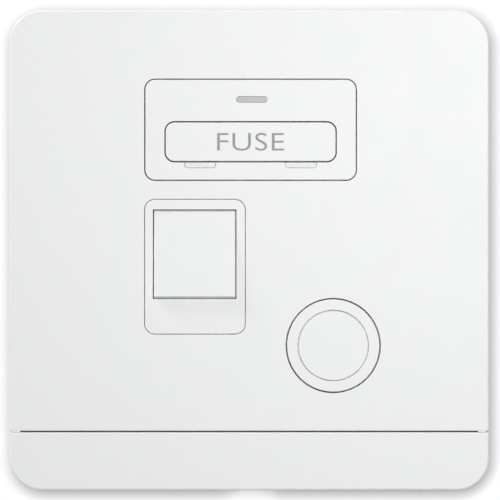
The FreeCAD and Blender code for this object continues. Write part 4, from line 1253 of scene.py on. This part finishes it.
class SPUR_OT_terminals(Operator):
    """Finish the terminals and give every screw its drive"""

    bl_idname = "spur.terminals"
    bl_label = "Terminals"

    slot_width: size_property("Slot Width", "Width of the slots in the terminal screws", 0.75 * MM)
    slot_depth: size_property("Slot Depth", "Depth of the slots in the terminal screws", 1.2 * MM)
    cross_span: size_property("Cross Span", "Width of the cross recesses", 2.7 * MM)
    cross_arm: size_property("Cross Arm", "Thickness of each arm of the recesses", 0.6 * MM)
    cross_depth: size_property("Cross Depth", "Depth of the cross recesses", 1.0 * MM)
    thread: size_property("Machine Thread", "Pitch of the terminal screws", 0.6 * MM)
    tapping_thread: size_property(
        "Tapping Thread", "Pitch of the screws that bite into plastic", 1.0 * MM
    )
    bite: size_property("Thread Bite", "How far each thread's core lies inside its shank", 0.03 * MM)

    def execute(self, context):
        terminals = ("line_in", "neutral_in", "line_load", "neutral_load", "earth")
        slots = {"terminal_" + place: "terminal_brass" for place in terminals}
        dress_nodes(slots, context.scene.spur_sizes.metal_easing)
        self.fit_screws("terminal_screws", self.terminal_screw)
        self.fit_screws("housing_screws", self.housing_screw)
        self.fit_screws("cord_clamp_screws", self.clamp_screw)
        return {"FINISHED"}

    def fit_screws(self, node, model):
        """Models one screw and sets it, each time turned differently, where the node has its own."""
        first_turn = 25
        next_turn = 67
        boxes = islands(node)
        low, high = boxes[0]
        master = model(high.y - low.y, (high.x - low.x) / 2)
        master.name = node + "_shape"
        smooth(master)
        places = []
        for number, box in enumerate(boxes):
            at = middle(box)
            turn = math.radians(first_turn + next_turn * number)
            places.append(((at.x, box[0].y, at.z), turn))
        dress(spread_copies(master, places), node, "screw_steel")

    def terminal_screw(self, length, radius):
        """Headless and slotted, with its thread run out at both ends."""
        core = 0.84 * radius
        run_in = 0.35 * MM
        run_out = 0.3 * MM
        screw = threaded_rod("screw", core - self.bite, radius, self.thread, run_in, length - run_out)
        tip = 0.2 * MM
        end = 0.15 * MM
        line = [
            (0, 0),
            (core - tip, 0),
            (core, tip),
            (core, length - end),
            (core - end, length),
            (0, length),
        ]
        weld(screw, lathe("pin", line, 32))
        centre = length - self.slot_depth / 2 + PAST / 2
        side = self.slot_width / 2
        slot = add_block("slot", 0, centre, 4 * radius, self.slot_depth + PAST, -side, side)
        return carve(screw, slot)

    def cross_cutter(self, face, outward):
        """Two crossed arms that narrow towards the bottom of a recess."""
        taper = 0.45
        depth = self.cross_depth
        floor = face - outward * depth
        centre = face + outward * (PAST - depth) / 2

        def at_floor(point):
            return abs(point.z - floor) < TINY

        arms = []
        for width, thickness in ((self.cross_span, self.cross_arm), (self.cross_arm, self.cross_span)):
            arm = add_block("arm", 0, centre, width, depth + PAST, -thickness / 2, thickness / 2)
            select_points(arm, at_floor)
            bpy.ops.transform.resize(value=(taper, taper, 1), center_override=(0, 0, floor))
            object_mode()
            arms.append(arm)
        return weld(*arms)

    def tapping_rod(self, core, shank, low, high):
        """The thread of a screw that bites into plastic."""
        return threaded_rod("thread", core - self.bite, shank, self.tapping_thread, low, high)

    def housing_screw(self, length, radius):
        """Countersunk, with a tapping thread and a cross recess in its head at the front."""
        shank = 1.2 * MM
        core = 0.88 * MM
        rim = 0.1 * MM
        head = 1.3 * MM
        neck = 1.6 * MM
        point = 0.9 * MM
        tip = 0.4 * MM
        line = [
            (0, 0),
            (radius - rim / 2, 0),
            (radius, rim),
            (shank, head),
            (core, neck),
            (core, length - point),
            (tip, length),
            (0, length),
        ]
        run_in = 1.8 * MM
        run_out = 1.0 * MM
        screw = lathe("screw", line, 48)
        weld(screw, self.tapping_rod(core, shank, run_in, length - run_out))
        return carve(screw, self.cross_cutter(0, -1))

    def clamp_screw(self, length, radius):
        """Pan head at the rear, with a tapping thread and a cross recess."""
        head = 1.6 * MM
        under = length - head
        shank = 1.3 * MM
        core = 0.95 * MM
        point = 0.9 * MM
        tip = 0.4 * MM
        neck = 0.4 * MM
        rim = 0.1 * MM
        side = 0.8 * MM
        shoulder = 1.25 * MM
        shoulder_inset = 0.25 * MM
        crown_inset = 0.75 * MM
        line = [
            (0, 0),
            (tip, 0),
            (core, point),
            (core, under - neck),
            (shank, under),
            (radius - rim, under),
            (radius, under + rim),
            (radius, under + side),
            (radius - shoulder_inset, under + shoulder),
            (radius - crown_inset, length),
            (0, length),
        ]
        run_in = 1.0 * MM
        run_out = 0.6 * MM
        screw = lathe("screw", line, 48)
        weld(screw, self.tapping_rod(core, shank, run_in, under - run_out))
        return carve(screw, self.cross_cutter(length, 1))


# Stage

SENSOR_WIDTH = 36
LAMPS = {
    "key_lamp": {"place": (-0.5, -1.5, 0.6), "size": 0.5, "power": 3.2},
    "near_lamp": {"place": (0.06, -0.2, 0.047), "size": 0.14, "power": 0.155},
    "rim_lamp": {"place": (-0.5, -0.13, 0.5), "size": 0.2, "power": 2.3},
    "low_lamp": {"place": (0.15, -0.5, -0.55), "size": 0.3, "power": 0.7},
    "rear_lamp": {"place": (-0.4, 0.7, 0.5), "size": 0.6, "power": 4.0},
}


def add_lamp(name, place, size, power):
    """A round soft lamp, in watts, that points at the middle of the plate."""
    deselect()
    aim = Vector(place).to_track_quat("Z", "Y").to_euler()
    bpy.ops.object.light_add(type="AREA", location=place, rotation=aim)
    lamp = bpy.context.object
    lamp.name = name
    lamp.data.shape = "DISK"
    lamp.data.size = size
    lamp.data.energy = power


def seen_mask(tree):
    """One for rays from the camera, straight, mirrored or through glass, and zero for light on the unit."""
    path = add_node(tree, "ShaderNodeLightPath")
    seen = math_node(tree, "MAXIMUM", path.outputs["Is Camera Ray"], path.outputs["Is Glossy Ray"])
    return math_node(tree, "MAXIMUM", seen, path.outputs["Is Transmission Ray"])


class SPUR_OT_stage(Operator):
    """Set the wall, the soft lamps, the world and the camera"""

    bl_idname = "spur.stage"
    bl_label = "Stage"

    view_width: size_property("View Width", "Width of the picture at the plate's front", 89.63 * MM)
    distance: size_property("Camera Distance", "Distance from the camera to the wall", 3.0)
    shift: size_property(
        "Camera Shift", "How far the camera stands to the right of the plate's middle", 0.15 * MM
    )
    wall_size: size_property("Wall Size", "Width and height of the wall", 3.0)
    margin: size_property(
        "Wall Margin", "How far the wall reaches behind the plate's outline", 0.4 * MM
    )
    white: share_property(
        "Wall White", "Share of the wall's white that the camera sees whatever the light", 0.9
    )
    shadow_share: share_property(
        "Shadow Share", "Share of the wall's paint that shows the lamps and their shadows", 0.16
    )
    halo: size_property("Halo Width", "Width of the close shadow round the plate", 2.5 * MM)
    halo_depth: share_property("Halo Depth", "Strength of the close shadow round the plate", 1.0)
    lean: share_property("Halo Lean", "How far the close shadow leans to the lower right", 0.42)
    ambient: share_property("Ambient", "Share of the world's white that lights the unit", 0.4)

    def execute(self, context):
        self.set_wall(context.scene)
        self.set_world(context.scene)
        for name, settings in LAMPS.items():
            add_lamp(name, **settings)
        deselect()
        bpy.ops.object.camera_add(location=(self.shift, -self.distance, 0), rotation=(QUARTER_TURN, 0, 0))
        camera = bpy.context.object
        camera.data.sensor_width = SENSOR_WIDTH
        camera.data.lens = SENSOR_WIDTH * (self.distance + PLATE_FRONT) / self.view_width
        camera.data.clip_end = 20
        context.scene.camera = camera
        context.scene.view_settings.view_transform = "Standard"
        return {"FINISHED"}

    def set_wall(self, scene):
        """A wall that ends behind the plate, so that the unit's gaps stay dark."""
        size = self.wall_size
        rear = WALL_FRONT + PAST
        wall = add_block("wall", 0, 0, size, size, WALL_FRONT, rear)
        width = 2 * PLATE_HALF - 2 * self.margin
        corner = scene.spur_sizes.corner - self.margin
        carve(wall, rounded_block("opening", 0, 0, width, width, corner, WALL_FRONT - PAST, rear + PAST))
        # Only the face towards the camera stays
        select_faces(wall, lambda normal: normal.y > -0.5)
        bpy.ops.mesh.delete(type="FACE")
        object_mode()
        wall.data.materials.append(self.wall_paint(tuple(scene.spur_colours.wall)))

    def wall_paint(self, colour):
        """Plain white to the camera, with a close shadow, and clear from behind."""
        material = bpy.data.materials.new("Wall Paint")
        material.use_nodes = True
        tree = material.node_tree
        seen = seen_mask(tree)
        shader = tree.nodes["Principled BSDF"]
        set_inputs(shader, {"Roughness": 0.9, "Specular IOR Level": 0.0})
        paint_colour = mix_node(tree, seen, opaque(colour), opaque(colour, self.shadow_share))
        feed(tree, shader.inputs["Base Color"], paint_colour)
        near = add_node(tree, "ShaderNodeAmbientOcclusion", samples=24)
        near.inputs["Distance"].default_value = self.halo
        lean = add_node(tree, "ShaderNodeCombineXYZ")
        upwards = self.lean * 1.3
        set_inputs(lean, {"X": -self.lean, "Y": -1.0, "Z": upwards})
        tree.links.new(lean.outputs["Vector"], near.inputs["Normal"])
        shade = math_node(tree, "MULTIPLY", near.outputs["AO"], self.halo_depth)
        shade = math_node(tree, "ADD", shade, 1 - self.halo_depth)
        bright = math_node(tree, "MULTIPLY", shade, self.white)
        glow = add_node(tree, "ShaderNodeEmission")
        feed(tree, glow.inputs["Strength"], math_node(tree, "MULTIPLY", seen, bright))
        lit = add_node(tree, "ShaderNodeAddShader")
        tree.links.new(shader.outputs[0], lit.inputs[0])
        tree.links.new(glow.outputs[0], lit.inputs[1])
        through = add_node(tree, "ShaderNodeBsdfTransparent")
        facing = add_node(tree, "ShaderNodeNewGeometry").outputs["Backfacing"]
        sided = add_node(tree, "ShaderNodeMixShader")
        tree.links.new(facing, sided.inputs["Fac"])
        tree.links.new(lit.outputs[0], sided.inputs[1])
        tree.links.new(through.outputs[0], sided.inputs[2])
        tree.links.new(sided.outputs[0], tree.nodes["Material Output"].inputs["Surface"])
        return material

    def set_world(self, scene):
        """White to the camera and in reflections, and dimmer as light on the unit."""
        world = bpy.data.worlds.new("Studio")
        scene.world = world
        world.use_nodes = True
        tree = world.node_tree
        sky = tree.nodes["Background"]
        sky.inputs["Color"].default_value = (1, 1, 1, 1)
        seen = seen_mask(tree)
        rest = math_node(tree, "SUBTRACT", 1.0, seen)
        dim = math_node(tree, "MULTIPLY", rest, self.ambient)
        feed(tree, sky.inputs["Strength"], math_node(tree, "ADD", seen, dim))


OPERATORS = (
    SPUR_OT_cover,
    SPUR_OT_fuse_module,
    SPUR_OT_indicator,
    SPUR_OT_fuse_drawer,
    SPUR_OT_switch,
    SPUR_OT_contacts,
    SPUR_OT_flex_outlet,
    SPUR_OT_housing,
    SPUR_OT_terminals,
    SPUR_OT_stage,
)


class SPUR_PT_panel(Panel):
    """Lists the steps that build and finish the unit"""

    bl_idname = "SPUR_PT_panel"
    bl_label = "Fused Spur Unit"
    bl_space_type = "VIEW_3D"
    bl_region_type = "UI"
    bl_category = "Spur Unit"

    def draw(self, context):
        column = self.layout.column()
        for group in (context.scene.spur_sizes, context.scene.spur_colours):
            for name in group.__annotations__:
                column.prop(group, name)
        for operator in OPERATORS:
            column.operator(operator.bl_idname)


CLASSES = (SpurSizes, SpurColours) + OPERATORS + (SPUR_PT_panel,)


def register():
    for item in CLASSES:
        bpy.utils.register_class(item)
    bpy.types.Scene.spur_sizes = PointerProperty(type=SpurSizes)
    bpy.types.Scene.spur_colours = PointerProperty(type=SpurColours)


def unregister():
    del bpy.types.Scene.spur_colours
    del bpy.types.Scene.spur_sizes
    for item in reversed(CLASSES):
        bpy.utils.unregister_class(item)


def main():
    register()
    bpy.ops.spur.cover()
    bpy.ops.spur.fuse_module()
    bpy.ops.spur.indicator()
    bpy.ops.spur.fuse_drawer()
    bpy.ops.spur.switch()
    bpy.ops.spur.contacts()
    bpy.ops.spur.flex_outlet()
    bpy.ops.spur.housing()
    bpy.ops.spur.terminals()
    bpy.ops.spur.stage()


if __name__ == "__main__":
    main()
